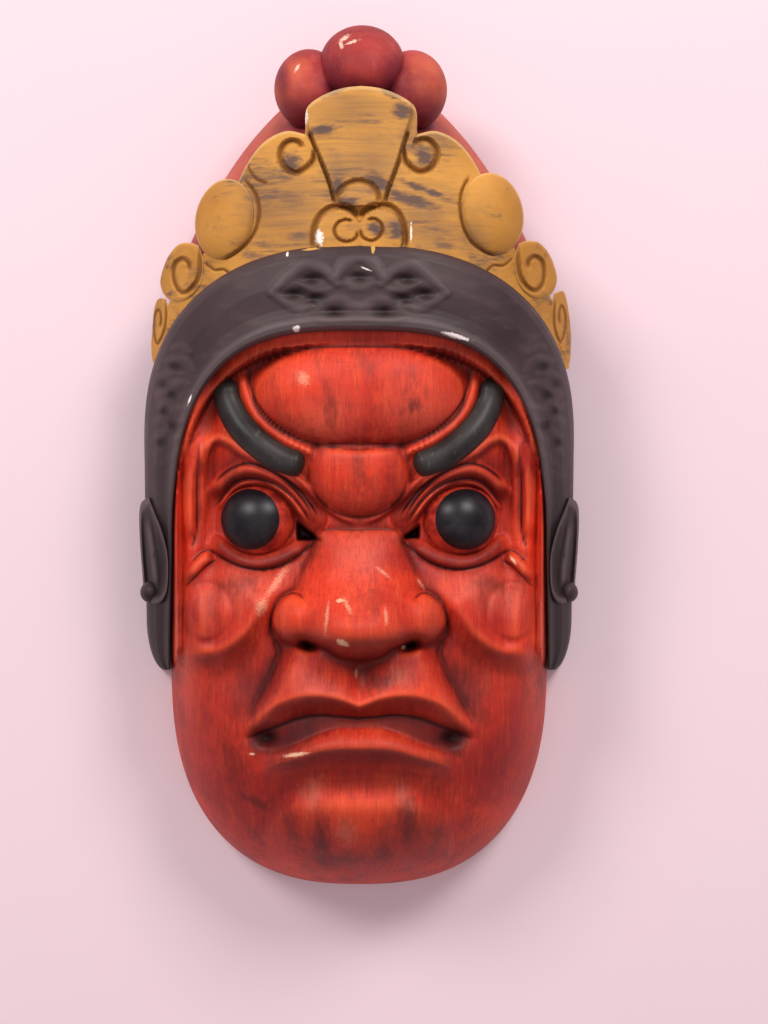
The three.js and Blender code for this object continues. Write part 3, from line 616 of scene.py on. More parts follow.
# Side of the muzzle: row, distance from the middle.
MUZZLE = curve([
    [-176.4, 42.1], [-164.2, 47.0], [-152.9, 51.0], [-145.0, 54.9], [-139.2, 58.8], [-134.3, 57.8],
    [-127.4, 52.9], [-120.0, 49.0], [-110.2, 43.6], [-100.5, 38.7], [-95.5, 36.3],
], 4).T
LINES = {
    "cheek": [
        [-89.7, -96.8], [-77.9, -98.2], [-66.2, -95.8], [-56.8, -88.9], [-50.5, -80.1],
        [-44.6, -70.3], [-35.8, -58.6],
    ],
    "fold": [
        [-42.6, -90.9], [-39.2, -96.8], [-42.6, -106.6], [-48.5, -117.4], [-54.9, -129.1],
        [-58.3, -137.0],
    ],
    "lid_groove_top": [
        [-71.0, -14.5], [-67.1, -10.0], [-61.2, -6.1], [-54.9, -4.4], [-48.0, -5.9], [-42.1, -8.6],
        [-36.3, -12.5], [-30.9, -17.9], [-26.0, -24.3], [-22.1, -31.6],
    ],
    "lid_ridge_top": [
        [-72.0, -22.3], [-69.6, -16.9], [-65.2, -12.0], [-59.3, -8.6], [-53.4, -7.8], [-47.0, -9.1],
        [-40.7, -12.0], [-34.8, -16.4], [-29.9, -21.8], [-25.5, -28.2], [-22.5, -34.1],
    ],
    "lid_groove_mid": [
        [-72.0, -26.7], [-68.1, -22.3], [-64.2, -16.9], [-59.8, -13.2], [-54.4, -11.8],
        [-47.5, -12.5], [-40.7, -14.9], [-34.8, -18.9], [-29.9, -23.8], [-26.0, -29.2],
        [-22.5, -35.0],
    ],
    "lid_ridge_edge": [
        [-70.6, -27.7], [-67.1, -23.3], [-63.2, -18.1], [-58.8, -14.9], [-53.4, -13.5],
        [-47.5, -14.2], [-41.6, -16.7], [-36.3, -20.3], [-31.4, -25.5], [-27.4, -31.1],
        [-24.0, -36.5],
    ],
    "lid_groove_low": [
        [-71.5, -47.3], [-67.1, -50.5], [-60.3, -53.9], [-52.9, -55.9], [-44.6, -55.9],
        [-36.8, -53.7], [-29.9, -49.7], [-24.0, -44.8], [-20.1, -41.4],
    ],
    "lid_ridge_low": [
        [-75.0, -41.9], [-69.6, -44.3], [-64.2, -48.3], [-57.8, -51.2], [-50.5, -52.4],
        [-43.1, -51.7], [-36.3, -49.7], [-29.9, -46.3], [-23.0, -42.4],
    ],
    "brow_rim": [
        [-76.9, -11.5], [-76.4, -1.7], [-73.5, 5.6], [-69.1, 8.1], [-63.2, 6.1], [-55.9, 0.2],
        [-47.5, -3.4], [-38.7, -8.1], [-30.4, -13.0], [-23.0, -18.6], [-15.7, -24.7], [-8.8, -29.6],
        [0.0, -32.3],
    ],
    "rim_groove": [
        [-54.4, -2.7], [-47.5, -5.9], [-36.8, -11.5], [-29.4, -17.4], [-23.5, -24.7],
        [-19.1, -31.6],
    ],
    "smile_groove": [[-21.1, -37.5], [-11.3, -36.5], [0.0, -37.0]],
    "lobe_rim": [
        [-57.8, 41.4], [-56.4, 32.6], [-52.9, 23.3], [-46.5, 14.9], [-36.8, 7.6], [-26.0, 2.2],
        [-20.1, -0.7],
    ],
    "lobe_groove": [
        [-54.9, 43.4], [-53.4, 34.1], [-49.5, 24.7], [-43.1, 16.9], [-33.8, 10.0], [-23.0, 4.2],
    ],
    "temple": [
        [-76.4, 14.9], [-79.9, 4.7], [-82.8, -7.6], [-83.8, -22.3], [-83.3, -34.5], [-82.3, -42.4],
    ],
    "temple_groove": [
        [-78.4, 9.1], [-78.9, -2.7], [-79.4, -17.4], [-79.4, -29.6], [-80.4, -40.9], [-82.8, -46.3],
    ],
    "temple_side": [[-75.0, 14.5], [-77.9, 4.7], [-77.4, -7.6], [-76.9, -22.3], [-76.0, -34.5]],
    "tear": [[-85.8, -63.5], [-82.3, -58.6], [-77.9, -53.7], [-74.0, -50.2], [-71.0, -49.0]],
    "tear_groove_top": [[-81.8, -52.7], [-78.4, -48.8], [-74.0, -46.8], [-70.1, -49.2]],
    "tear_groove_low": [[-85.8, -65.4], [-80.4, -60.0], [-75.0, -54.6], [-69.1, -51.2]],
    "ala_groove": [
        [-38.7, -94.3], [-42.1, -89.9], [-43.4, -83.1], [-42.1, -76.2], [-38.7, -70.8],
        [-33.8, -68.1], [-29.4, -68.6], [-26.5, -71.8],
    ],
}
LINES = {k: curve(v, 5) for k, v in LINES.items()}


def mouth(x, v):
    """Lips as a profile down the face, its turning points set by the distance from the middle: out
    to the upper lip's edge, in to the mouth line, out to the lower lip's edge, in to the chin's
    groove. Returns the height, how much of it counts, and the dark of the inner lip, which is
    painted shadow of the upper lip, with glaze."""
    o = -x
    step = [np.interp(o, LIPS[0], row) for row in LIPS[1:]]
    h = step[1].copy()
    # how each stretch runs between its two turning points: rounded, straight or hollow
    shapes = (
        lambda t: t**1.25,
        lambda t: t,
        lambda t: t,
        lambda t: np.sin(t * math.pi / 2) ** 0.9,
        lambda t: 1 - (1 - t) ** 1.8,
    )
    dark = 0 * v
    for k, shape in enumerate(shapes):
        a, b, low, high = step[2 * k], step[2 * k + 2], step[2 * k + 1], step[2 * k + 3]
        t = np.clip((a - v) / (a - b), 0, 1)
        h += (high - low) * shape(t)
        # painted shadow of the upper lip on the inner lower lip, less over the lower lip's roll
        if k == 2:
            dark = ease(-0.4, 0.0, (a - v) / (a - b)) * ease(1.5, 0.7, (a - v) / (a - b))
        if k == 3:
            dark = np.maximum(dark, 0.32 * ease(0, 0.2, t) * ease(1, 0.9, t))
    edge = np.interp(v, MUZZLE[0], MUZZLE[1])
    share = ease(2.5, -9.8, o - edge) * ease(-90.6, -97.0, v) * ease(-172.5, -161.7, v)
    return h, share, dark * ease(59.8, 49.0, o) * mix(1, 0.75, ease(29.4, 0, o))


def nose(x, v):
    """Ridge that widens to the tip, flat-topped across, and a round wing at each side of it; both
    go on falling outside their own outlines."""
    w = np.interp(-v, -NOSE[0], NOSE[1])
    c = np.interp(-v, -NOSE[0], NOSE[2])
    q = 1 - np.abs(x / w) ** mix(2.1, 2.4, ease(-56.4, -80.8, v))
    body = np.where(q > 0, c * np.maximum(q, 0) ** 0.95, 26 * q)
    k = oval(x, v, [-26.5, -81.1], 16.4, 14.2)
    wing = np.where(k < 1, 0.5 + 16.5 * dome(k, 1, 0.58), 0.5 - 60 * (k - 1))
    h = smax(body, wing, 7.0)
    return h - 12 * ease(-91.1, -97.5, v) * ease(9.8, 20.6, -x)


def under_band(u, v):
    """1 on the band's inner edge and along the straps, more under the band, less in the face."""
    up = np.maximum(v - BAND_IN["v"], 0) / BAND_IN["b"]
    return (np.abs(u / BAND_IN["a"]) ** 3 + up**3) ** (1 / 3)


def carve(u, v):
    """Height of the carving over the head block: soft bells for the broad forms, round backs along
    curves for folds, narrow bells taken away for grooves, and ovals for the swellings. Also
    returns how much painted shade lies in the groove lines, pits and eye openings, and on the
    inner lip and the lower lids."""
    x = -np.abs(u)
    line = np.zeros(u.shape)

    def ridge(name, half, high, ends=0.15, p=0.5):
        d, t, _ = along(x, v, LINES[name])
        return high * dome(d, half, p) * ease(-0.01, ends, t) * ease(1.01, 1 - ends, t)

    def groove(name, half, deep, first=0.12, last=0.12, dark=1.0):
        nonlocal line
        d, t, _ = along(x, v, LINES[name])
        k = ease(-0.02, first, t) * ease(1.02, 1 - last, t)
        # painted shade along the groove
        line = np.maximum(line, dark * soft(d, half * 0.7) * k)
        return -deep * np.exp(-d / half) * k

    # broad forms
    h = 4 * soft(oval(x, v, [-40, -2], 34, 14), 1)
    h += 3 * soft(oval(x, v, [-63.2, 12.0], 18, 12), 1)
    h -= 11 * soft(oval(x, v, [-47.5, -32.1], 27, 20), 1)
    h -= 5 * soft(oval(x, v, [-21.1, -40.9], 7, 6), 1)
    h += 2.5 * soft(oval(x, v, [-73.0, -130.1], 26, 30), 1)

    # cheek: high above its ridge line, falling away below it, with a round boss at the side
    d, t, side = along(x, v, LINES["cheek"])
    s = d * side
    h += 7.5 * ease(-12, 2.5, s) * ease(42, 6, s) * ease(-0.05, 0.25, t) * ease(1.0, 0.75, t)
    h += 2.0 * soft(s - 1.2, 3.6) * np.sin(np.pi * np.clip(t + 0.08, 0.1, 0.97))
    h -= 4.0 * soft(oval(x, v, [-56.8, -108.5], 13, 15, -0.4), 1)
    boss = oval(x, v, [-75.0, -77.7], 12.2, 13.7)
    h += 3.0 * dome(boss, 1, 0.8) - 0.5 * soft((boss - 1.05) * 8, 1)
    h += groove("fold", 2.6, 3.5, 0.15, 0.35, 0.45)

    # chin, then the lips over it
    chin = oval(x, v, [0.0, -187.9], 47.0, 30.9)
    h = smax(h, np.where(chin < 1, 11 * dome(chin, 1, 0.65), -5 * (chin - 1)), 2.5)
    lips, share, dark = mouth(x, v)
    h = mix(h, lips, share)
    # painted shadow of the upper lip, with glaze, on the inner lip
    hollow = dark * share
    h -= 2.2 * soft(oval(u, v, [2.5, -111.0], 5.5, 8), 1)
    pit = soft(oval(x, v, [-44.6, -138.9], 5.4, 3.8), 1)
    h -= 6.5 * pit
    # painted shade in the mouth's corner pits and along the mouth line
    line = np.maximum(line, 0.95 * soft(oval(x, v, [-44.6, -138.9], 5.0, 3.6), 1))
    at = np.interp(-x, LIPS[0], LIPS[5])
    line = np.maximum(line, soft(v - at, 0.75) * ease(58.8, 49.0, -x) * 0.95)
    h -= 1.0 * soft(v - at, 0.9) * ease(58.8, 49.0, -x)

    # nose
    h = smax(h, nose(x, v), mix(mix(1.0, 5.0, ease(-38.2, -49.0, v)), 0.9, ease(-59.8, -71.5, v)))
    h += groove("ala_groove", 1.0, 2.4, 0.1, 0.1, 0.8)
    pit = soft(oval(x, v, [-25.5, -93.6], 4.6, 2.4, -0.45), 1)
    h -= 9 * pit
    # painted shade in the nostrils
    line = np.maximum(line, pit)

    # lids, brow rim and small folds
    h += ridge("lid_ridge_top", 4.4, 5.4)
    h += ridge("lid_ridge_edge", 1.9, 3.4)
    h += ridge("lid_ridge_low", 4.4, 4.4)
    # painted shade, with glaze, on the lower lid under the eyeball
    d, t, _ = along(x, v, LINES["lid_ridge_low"])
    hollow = np.maximum(hollow, 0.62 * soft(d, 5) * ease(0, 0.2, t))
    h += groove("lid_groove_top", 1.1, 3.0)
    h += groove("lid_groove_mid", 1.0, 2.8)
    h += groove("lid_groove_low", 1.1, 3.4)
    h += ridge("brow_rim", 2.8, 4.6, 0.1)
    h += 2.2 * soft(oval(x, v, [0.0, -32.6], 13, 2.4), 1)
    h += groove("rim_groove", 1.0, 2.4, 0.2, 0.2)
    h += groove("smile_groove", 1.1, 2.2, 0.3, 0.005, 0.7)
    h += ridge("lobe_rim", 2.6, 4.0)
    h += groove("lobe_groove", 0.9, 2.2)
    h += ridge("temple", 3.6, 4.0, 0.3)
    h += groove("temple_groove", 0.8, 2.2, 0.2)
    h += ridge("temple_side", 2.4, 2.0, 0.3)
    h += ridge("tear", 3.6, 3.6, 0.35)
    h += groove("tear_groove_top", 0.7, 1.8)
    h += groove("tear_groove_low", 0.7, 1.8)

    # red strip that follows the band's inner edge over the brow
    q = under_band(u, v)
    inner = mix(0.966, 0.938, ease(0, 60, v))
    lift = 8.5 * ease(-14, 6, v)
    step = 40  # drop at the strip's inner edge, out of the way of the face's own forms
    rise = step * ease(inner - 0.01, inner + 0.002, q) - np.where(q > inner, step, 0)
    h = smax(h, np.where(q > inner, lift, lift - step) + rise, 0.5)
    # painted shadow of the band's rim along the strip's inner edge
    line = np.maximum(line, soft((q - inner + 0.006) * 100, 0.7) * ease(-10, 10, v) * 0.8)

    # open corner of the eye beside the ball, a little smaller on the right
    tri = np.maximum.reduce([v + 32.1 + 0.815 * (x + 30.9), -42.4 - v, -30.5 - x])
    hole = ease(0.8, -0.8, tri + 0.5 + 0.9 * (u > 0))
    h -= 11 * hole
    # painted shade fills the pit, standing in for the dark of the opening
    line = np.maximum(line, hole * 1.3)

    # swellings between the brows and on the forehead
    lobe = oval(x, v, [0.0, 29.6], 51.9, 26.7)
    knot = oval(x, v, [-0.5, -8.6], 24.0, 22.1)
    top = 1.5 + 12.5 * dome(knot, 1, 0.6)
    top = np.where(knot < 1, top, 1.5 - 40 * (knot - 1)) - 14 * ease(1.04, 0.96, lobe)
    h = smax(h, top, 0.6)
    # painted shade in the outlines of the knot and the forehead lobe
    line = np.maximum(line, soft((knot - 1.0) * 22, 0.8) * ease(-12, -20, v) * 0.8)
    top = 2 + 14.5 * dome(lobe, 1, 0.5)
    h = smax(h, np.where(lobe < 1, top, 2 - 40 * (lobe - 1)), 0.6)
    line = np.maximum(line, soft((lobe - 1.0) * 26, 0.7) * ease(40, 25, v) * 0.8)
    return h, line, hollow


def across_steps(stops, walls):
    """Across: steps in drawn width over the front, given as shares of the half width with the
    number of columns up to each, mirrored, then even turns down the side walls."""
    half = levels(stops)
    front = np.arcsin(np.clip(half**1.5, 0, 1)) * 2 / math.pi
    wall = np.linspace(front[-1], 1, walls + 1)[1:]
    side = np.concatenate([front, wall])
    return np.concatenate([-side[:0:-1], side])


def shell(name, sides, rows, inner_sides, inner_rows, paint, sculpt, first_rim, last_rim):
    """A wall between the carved outside and the smooth hollow: two grids over the same spread,
    joined round their edges by flat strips. The hollow is deeper behind the eyes."""

    def on_rim(z):
        """Brings the sides, and those ends that are rims, down to the rim plane."""
        edge = np.zeros(z.shape, bool)
        edge[:, [0, -1]] = True
        edge[0] |= first_rim
        edge[-1] |= last_rim
        return np.where(edge, 0, z)

    u, v, z = head_point(*np.meshgrid(sides, rows))
    extra, looks = sculpt(u, v, z)
    outer = place(u, v, on_rim(z + extra))
    u, v, z = head_point(*np.meshgrid(inner_sides, inner_rows), WALL)
    z = z - 15 * soft(oval(-np.abs(u), v, [-35.3, -37.0], 32, 26), 1) * ease(0, 40, z)
    v = np.where(v > HOOD_LINE, mix(HOOD_LINE, v, HOLLOW_RISE), v)
    inner = place(u, v, on_rim(z))
    i = np.arange(outer.size // 3).reshape(outer.shape[:2])
    j = np.arange(inner.size // 3).reshape(inner.shape[:2]) + i.size
    strips = [
        zip_edges(i[0], j[0])[:, ::-1],
        zip_edges(i[-1], j[-1]),
        zip_edges(i[:, 0], j[:, 0]),
        zip_edges(i[:, -1], j[:, -1])[:, ::-1],
    ]
    faces = [grid_faces(*i.shape), grid_faces(*j.shape, start=i.size)[:, ::-1], *strips]
    looks = {k: np.concatenate([w.reshape(-1), np.zeros(j.size)]) for k, w in looks.items()}
    looks["inside"] = np.concatenate([np.zeros(i.size), np.ones(j.size)])
    points = np.concatenate([outer.reshape(-1, 3), inner.reshape(-1, 3)])
    make(name, points, faces, paint, looks, 62)


def blur(a, n):
    """Mean over a square of 2n + 1 points, by running sums, edges held."""
    for axis in (0, 1):
        p = np.pad(a, [(n + 1, n) if k == axis else (0, 0) for k in (0, 1)], mode="edge")
        c, width = np.cumsum(p, axis=axis), 2 * n + 1
        high = np.take(c, range(width, c.shape[axis]), axis)
        a = (high - np.take(c, range(c.shape[axis] - width), axis)) / width
    return a


def face_sculpt(u, v, z):
    """Carving faded out down the side walls and built out at the sides to meet the straps, and for
    the paint how hollow or proud each point is against its surroundings: painted shade, with
    glaze, in the hollows, painted highlight on the proud points and on slopes that face up, and
    painted shade on slopes that face the chin. Everything stays under the band's front."""
    h, line, inner_lip = carve(u, v)
    h = blur(h, 1)
    w = ease(6, 30, z)
    near, far = blur(h, 3), blur(h, 13)
    slope = np.gradient(h, axis=0) / np.maximum(0.05, np.gradient(v, axis=0))
    lit = np.clip(-slope * 0.8, 0, 1)
    # painted shade, with glaze, in the hollows, less where a slope faces up to the light
    hollow = np.clip((far - h) / 6, 0, 1) * (1 - 0.75 * lit)
    # painted shade on slopes that face the chin, away from the light above
    under = np.clip(slope * 0.6 - 0.12, 0, 0.66)
    proud = np.clip((h - near) / 0.9, 0, 1) * 0.42 + np.clip((h - far) / 6, 0, 1) * 0.4
    hollow *= 1 - 0.9 * ease(78, 86, np.abs(u))
    hollow = np.maximum.reduce([hollow, under, 0.9 * inner_lip])
    # painted highlight on proud points and on slopes that face up
    painted_highlight = (proud + 0.12 * lit) * (1 - inner_lip)
    looks = {"hollow": hollow * w, "painted_highlight": np.clip(painted_highlight, 0, 1) * w, "line": line * w}
    edge = 18 * ease(70, 87, np.abs(u)) + 24 * ease(86, 91.2, np.abs(u))
    q = under_band(u, v)
    h = h * w + edge * ease(-116, -90, v) * ease(8, 24, z) * ease(1.08, 1.01, q)
    most = band_top(u, v) - 4 - z + 60 * ease(1.0, 0.94, q)
    return np.where(v > STRAP_END, np.minimum(h, most), h), looks


def face_piece():
    """The red face from the chin's rim up to the hood, finest in rows where the eyes and mouth are
    and where it goes under the band."""
    rows = levels([
        (-1, 0), (-0.93, 5), (-0.32, 36), (-0.06, 56), (0, 18), (0.24, 46), (0.6, 86), (0.95, 42),
        (1.0, 12), (UNDER_CROWN, 3),
    ])
    sides = across_steps([(0, 0), (0.15, 18), (0.82, 110), (0.967, 13)], 12)
    inner_rows = levels([(-1, 0), (0, 24), (UNDER_CROWN, 34)])
    inner_sides = np.linspace(-1, 1, 61)
    shell("face", sides, rows, inner_sides, inner_rows, RED, face_sculpt, True, False)


def hood_piece():
    """The plain red hood behind the crown, from where the face ends to the top's rim."""

    def plain(u, v, z):
        return 0 * z, {"hollow": 0 * z}

    rows, inner_rows = levels([(UNDER_CROWN, 0), (2, 60)]), levels([(UNDER_CROWN, 0), (2, 24)])
    sides, inner_sides = across_steps([(0, 0), (0.967, 46)], 12), np.linspace(-1, 1, 61)
    shell("hood", sides, rows, inner_sides, inner_rows, HOOD_RED, plain, False, True)


# Swellings and bars on the face
def eyeball(name, mid):
    """Round ball set in the socket: an oval whose height is a half circle over its width."""
    k = np.array([1.0, 0.985, 0.95, 0.9, 0.82, 0.72, 0.6, 0.46, 0.32, 0.18, 0.07])[:, None]
    a = np.linspace(0, 2 * math.pi, 72, endpoint=False)[None]
    u = mid[0] + 18.6 * k * np.cos(a)
    v = mid[1] + 17.6 * k * np.sin(a)
    base = block(np.array(mid[0]), np.array(mid[1]))
    z = base - 8 + 16 * dome(k) + 0 * a
    low = place(u[0], v[0], z[0] - 8)
    rings = np.concatenate([low[None], place(u, v, z)])
    loft(name, rings, EYE_PAINT, (None, place(mid[0], mid[1], base + 8.0)))


def brow(name, side):
    """Thick rounded bar along the brow curve, a half oval across, thinner to its ends."""
    line = curve([
        [-64.7, 37.0], [-63.7, 26.2], [-57.8, 14.0], [-47.5, 3.7], [-36.8, -2.7], [-26.5, -4.7],
    ], 12)
    d = np.gradient(line, axis=0)
    d /= np.hypot(*d.T)[:, None]
    t = np.linspace(0, 1, len(line))
    end = np.minimum(t, 1 - t) * 62 / 6.4
    k = np.where(end < 1, np.sqrt(np.clip(1 - (1 - end) ** 2, 0.02, 1)), 1)
    k = (k * mix(0.92, 1.0, np.sin(np.pi * t)))[:, None]
    a = np.linspace(0, math.pi, 17)
    off, up = -np.cos(a), np.sin(a)
    u = line[:, :1] - d[:, 1:] * off * 7.4 * k
    v = line[:, 1:] + d[:, :1] * off * 7.4 * k
    ground = (block(*line.T) + carve(*line.T)[0])[:, None]
    top = np.stack([u, v, ground - 1.0 + 8.5 * up * k], axis=-1)
    under = np.stack([u[:, ::-4], v[:, ::-4], ground - 7 + 0 * v[:, ::-4]], axis=-1)
    u, v, z = np.concatenate([top, under], axis=1).transpose(2, 0, 1)
    loft(name, place(side * u, v, z), BROW_BLACK)


# Head band
def superpoint(o, a):
    """Point on the upper half of a superellipse at parameter a."""
    u = o["a"] * spow(np.sin(a), 2 / o["n"])
    return np.stack([u, o["v"] + o["b"] * spow(np.cos(a), 2 / o["n"])], axis=-1)


def band_edges(t):
    """Inner and outer edge of the band at share t, -1 and 1 at the strap ends."""
    bend = 0.72
    s = np.abs(t)
    a = np.clip(s / bend, 0, 1) * math.pi / 2
    inner, outer = superpoint(BAND_IN, a), superpoint(BAND_OUT, a)
    k = np.clip((s - bend) / (1 - bend), 0, 1)
    strap_in = np.stack([mix(91.1, 92.6, k), mix(BAND_IN["v"], STRAP_END, k)], axis=-1)
    tip = 9.5 * (1 - np.sqrt(np.clip(1 - np.clip((k - 0.78) / 0.225, 0, 1) ** 2, 0, 1)))
    strap_out = np.stack([105.3 - 1.5 * k - tip, mix(BAND_OUT["v"], STRAP_END, k)], axis=-1)
    low = (s > bend)[:, None]
    inner, outer = np.where(low, strap_in, inner), np.where(low, strap_out, outer)
    sign = np.stack([np.where(t < 0, -1, 1), np.ones(len(t))], axis=-1)
    return inner * sign, outer * sign


def band_top(u, v):
    """Front of the band: superellipse across, lower down the straps."""
    across = np.maximum(0, 1 - np.abs(u / 112) ** 2.6) ** (1 / 2.6)
    return 4 + 101 * across - 20 * ease(40, -100, v)


def hollow_height(u, v, more=0):
    """Roof of the hollow over the rim, 0 outside it, for a hollow so much larger all round."""
    c = np.maximum(0, 1 - np.abs(u / (FACE_HALF - WALL + more)) ** 3) ** (1 / 3)
    rise = HOLLOW_RISE * (HOOD_RISE - WALL) + more
    w = np.clip((v - HOOD_LINE) / (rise * c + 1e-6), 0, 1)
    return (DEPTH - WALL + BROW_RISE + more) * c * np.sqrt(1 - w**2)


def band_piece():
    """Sections from strap end to strap end: down the inner wall, over a rolled lip and a gently
    domed front, and down the outer wall to the rim or, over the hollow, to its roof."""
    t = levels([(-1, 0), (-0.94, 16), (-0.72, 50), (0.72, 520), (0.94, 50), (1, 16)])
    inner, outer = (edge[:, None] for edge in band_edges(t))
    w = levels([(0, 0), (0.2, 16), (0.85, 60), (1, 12)])
    roll_at = [0, 0.02, 0.06, 0.12, 0.17, 0.24, 0.32, 0.6, 0.88, 0.96, 1]
    roll = np.interp(w, roll_at, [-4, -1.4, 0.9, 1.7, 1.3, 0.1, -0.3, 0.6, -0.4, -2.2, -6])
    u, v = np.moveaxis(inner + (outer - inner) * w[None, :, None], -1, 0)
    h, dark = band_relief(u, v)
    feet = w[::-1][:: len(w) // 16]
    uf, vf = np.moveaxis(inner + (outer - inner) * feet[None, :, None], -1, 0)
    foot = hollow_height(uf, vf, 4)
    rings = np.concatenate([place(u, v, band_top(u, v) + roll + h), place(uf, vf, foot)], axis=1)
    # painted highlight on the rolled lip and the relief's ridges; the relief's dark is painted
    # shade
    lip = np.interp(w, [0, 0.05, 0.12, 0.2, 1], [0.2, 0.9, 1, 0, 0])[None] + 0 * u
    looks = {"hollow": dark, "painted_highlight": np.clip(h / 2.2, 0, 1) * 0.7 + lip}
    looks = {k: np.concatenate([x, np.zeros(foot.shape)], axis=1) for k, x in looks.items()}
    loft("head_band", rings, BLACK, attributes=looks, sharp=50)


# Points, half width and height of each low ridge, left half only.
BAND_LINES = [
    ([
        [-43.1, 79.1], [-38.2, 84.5], [-32.3, 89.4], [-26.5, 93.3], [-20.1, 91.9], [-15.2, 88.4],
        [-10.8, 83.5],
    ], 3.4, 1.9),
    ([[-43.1, 79.1], [-38.2, 75.7], [-33.3, 72.8], [-28.4, 71.3], [-23.5, 73.3]], 3.0, 1.7),
    ([[-28.9, 83.5], [-24.5, 81.1], [-20.1, 79.6], [-14.2, 81.1]], 2.4, 1.3),
    ([[-10.8, 87.5], [-7.8, 92.4], [-3.9, 95.3], [0.0, 96.3]], 3.4, 2.2),
    ([[-6.4, 83.5], [-3.4, 81.6], [0.0, 81.1]], 2.6, 1.5),
    ([[-20.1, 75.7], [-14.2, 75.2], [-8.8, 75.7], [-4.4, 73.3], [0.0, 72.3]], 2.8, 1.6),
    ([[-23.0, 66.9], [-16.2, 65.4], [-8.8, 65.9], [0.0, 65.9]], 2.2, 1.2),
    ([[-90.6, 52.2], [-86.7, 52.7], [-83.3, 50.2]], 2.5, 1.5),
    ([[-94.1, 45.8], [-89.7, 46.8], [-84.8, 45.3], [-81.8, 40.9]], 2.4, 1.5),
    ([[-97.5, 38.0], [-92.6, 39.9], [-87.2, 39.4]], 2.3, 1.5),
    ([[-98.5, 29.6], [-94.1, 32.1], [-88.7, 35.0], [-83.8, 34.5]], 2.6, 1.7),
    ([[-97.5, 22.8], [-93.1, 25.7], [-87.7, 28.2]], 2.3, 1.4),
    ([[-99.5, 16.4], [-95.1, 18.9], [-90.2, 22.3], [-85.8, 22.8]], 2.5, 1.6),
    ([[-98.5, 8.6], [-93.6, 12.0], [-88.2, 15.9]], 2.4, 1.5),
    ([[-99.0, 0.7], [-95.1, 4.2], [-89.7, 8.1]], 2.3, 1.4),
    ([[-96.0, -4.2], [-92.6, -1.7], [-89.2, 1.2]], 2.0, 1.1),
]
BAND_HOLLOWS = [
    [-31.8, 78.6], [-21.1, 76.2], [0.5, 87.0], [-12.2, 69.8], [-23.0, 86.0], [-89.7, 42.9],
    [-95.5, 34.1], [-91.1, 28.7], [-95.1, 20.8], [-90.6, 14.0], [-96.0, 5.6],
]


def band_relief(u, v):
    """Low cloud and flower carving: rounded ridges along short curves, thumb hollows between. Also
    returns painted shade in the hollows, and a darkening down the straps.
    """
    x = -np.abs(u)
    h = np.zeros(u.shape)
    for points, half, high in BAND_LINES:
        d, t, _ = along(x, v, curve(points, 4))
        h = smax(h, 0.85 * high * dome(d, 1.6 * half * mix(0.7, 1, np.sin(np.pi * t)), 1.3), 0.9)
    dark = np.zeros(u.shape)
    for mid in BAND_HOLLOWS:
        front = mid[1] > 60  # the five over the brow are wider and deeper than those at the side
        dip = soft(oval(x, v, mid, 5.0 if front else 2.6, 2.3), 1)
        h -= (2.2 if front else 1.3) * dip
        # painted shade in the thumb hollow
        dark = np.maximum(dark, dip)
    return h, np.maximum(dark, 0.85 * ease(20, -55, v))


# Crown
def crown_top(u, v):
    """Front of the crown: superellipse across, leaning back as it rises."""
    across = np.maximum(1e-4, 1 - np.abs(u / CROWN_HALF) ** 2.6) ** (1 / 2.6)
    return CROWN_LIFT * across - 0.09 * np.maximum(0, v - 95)


def crown_back(u, v):
    """Back of the crown, which gets thicker towards its ends, where it stands on the hood."""
    return crown_top(u, v) - CROWN_THICK - 14 * np.abs(u / 105) ** 4


FAN_LEFT = curve([
    [-26.9, 169.8], [-25.5, 161.0], [-22.5, 153.1], [-18.1, 142.8], [-14.2, 132.5], [-11.8, 123.2],
], 4)
FAN_RIGHT = curve([
    [26.0, 171.7], [25.5, 164.9], [23.0, 157.0], [19.6, 145.3], [15.7, 133.5], [12.2, 123.7],
], 4)
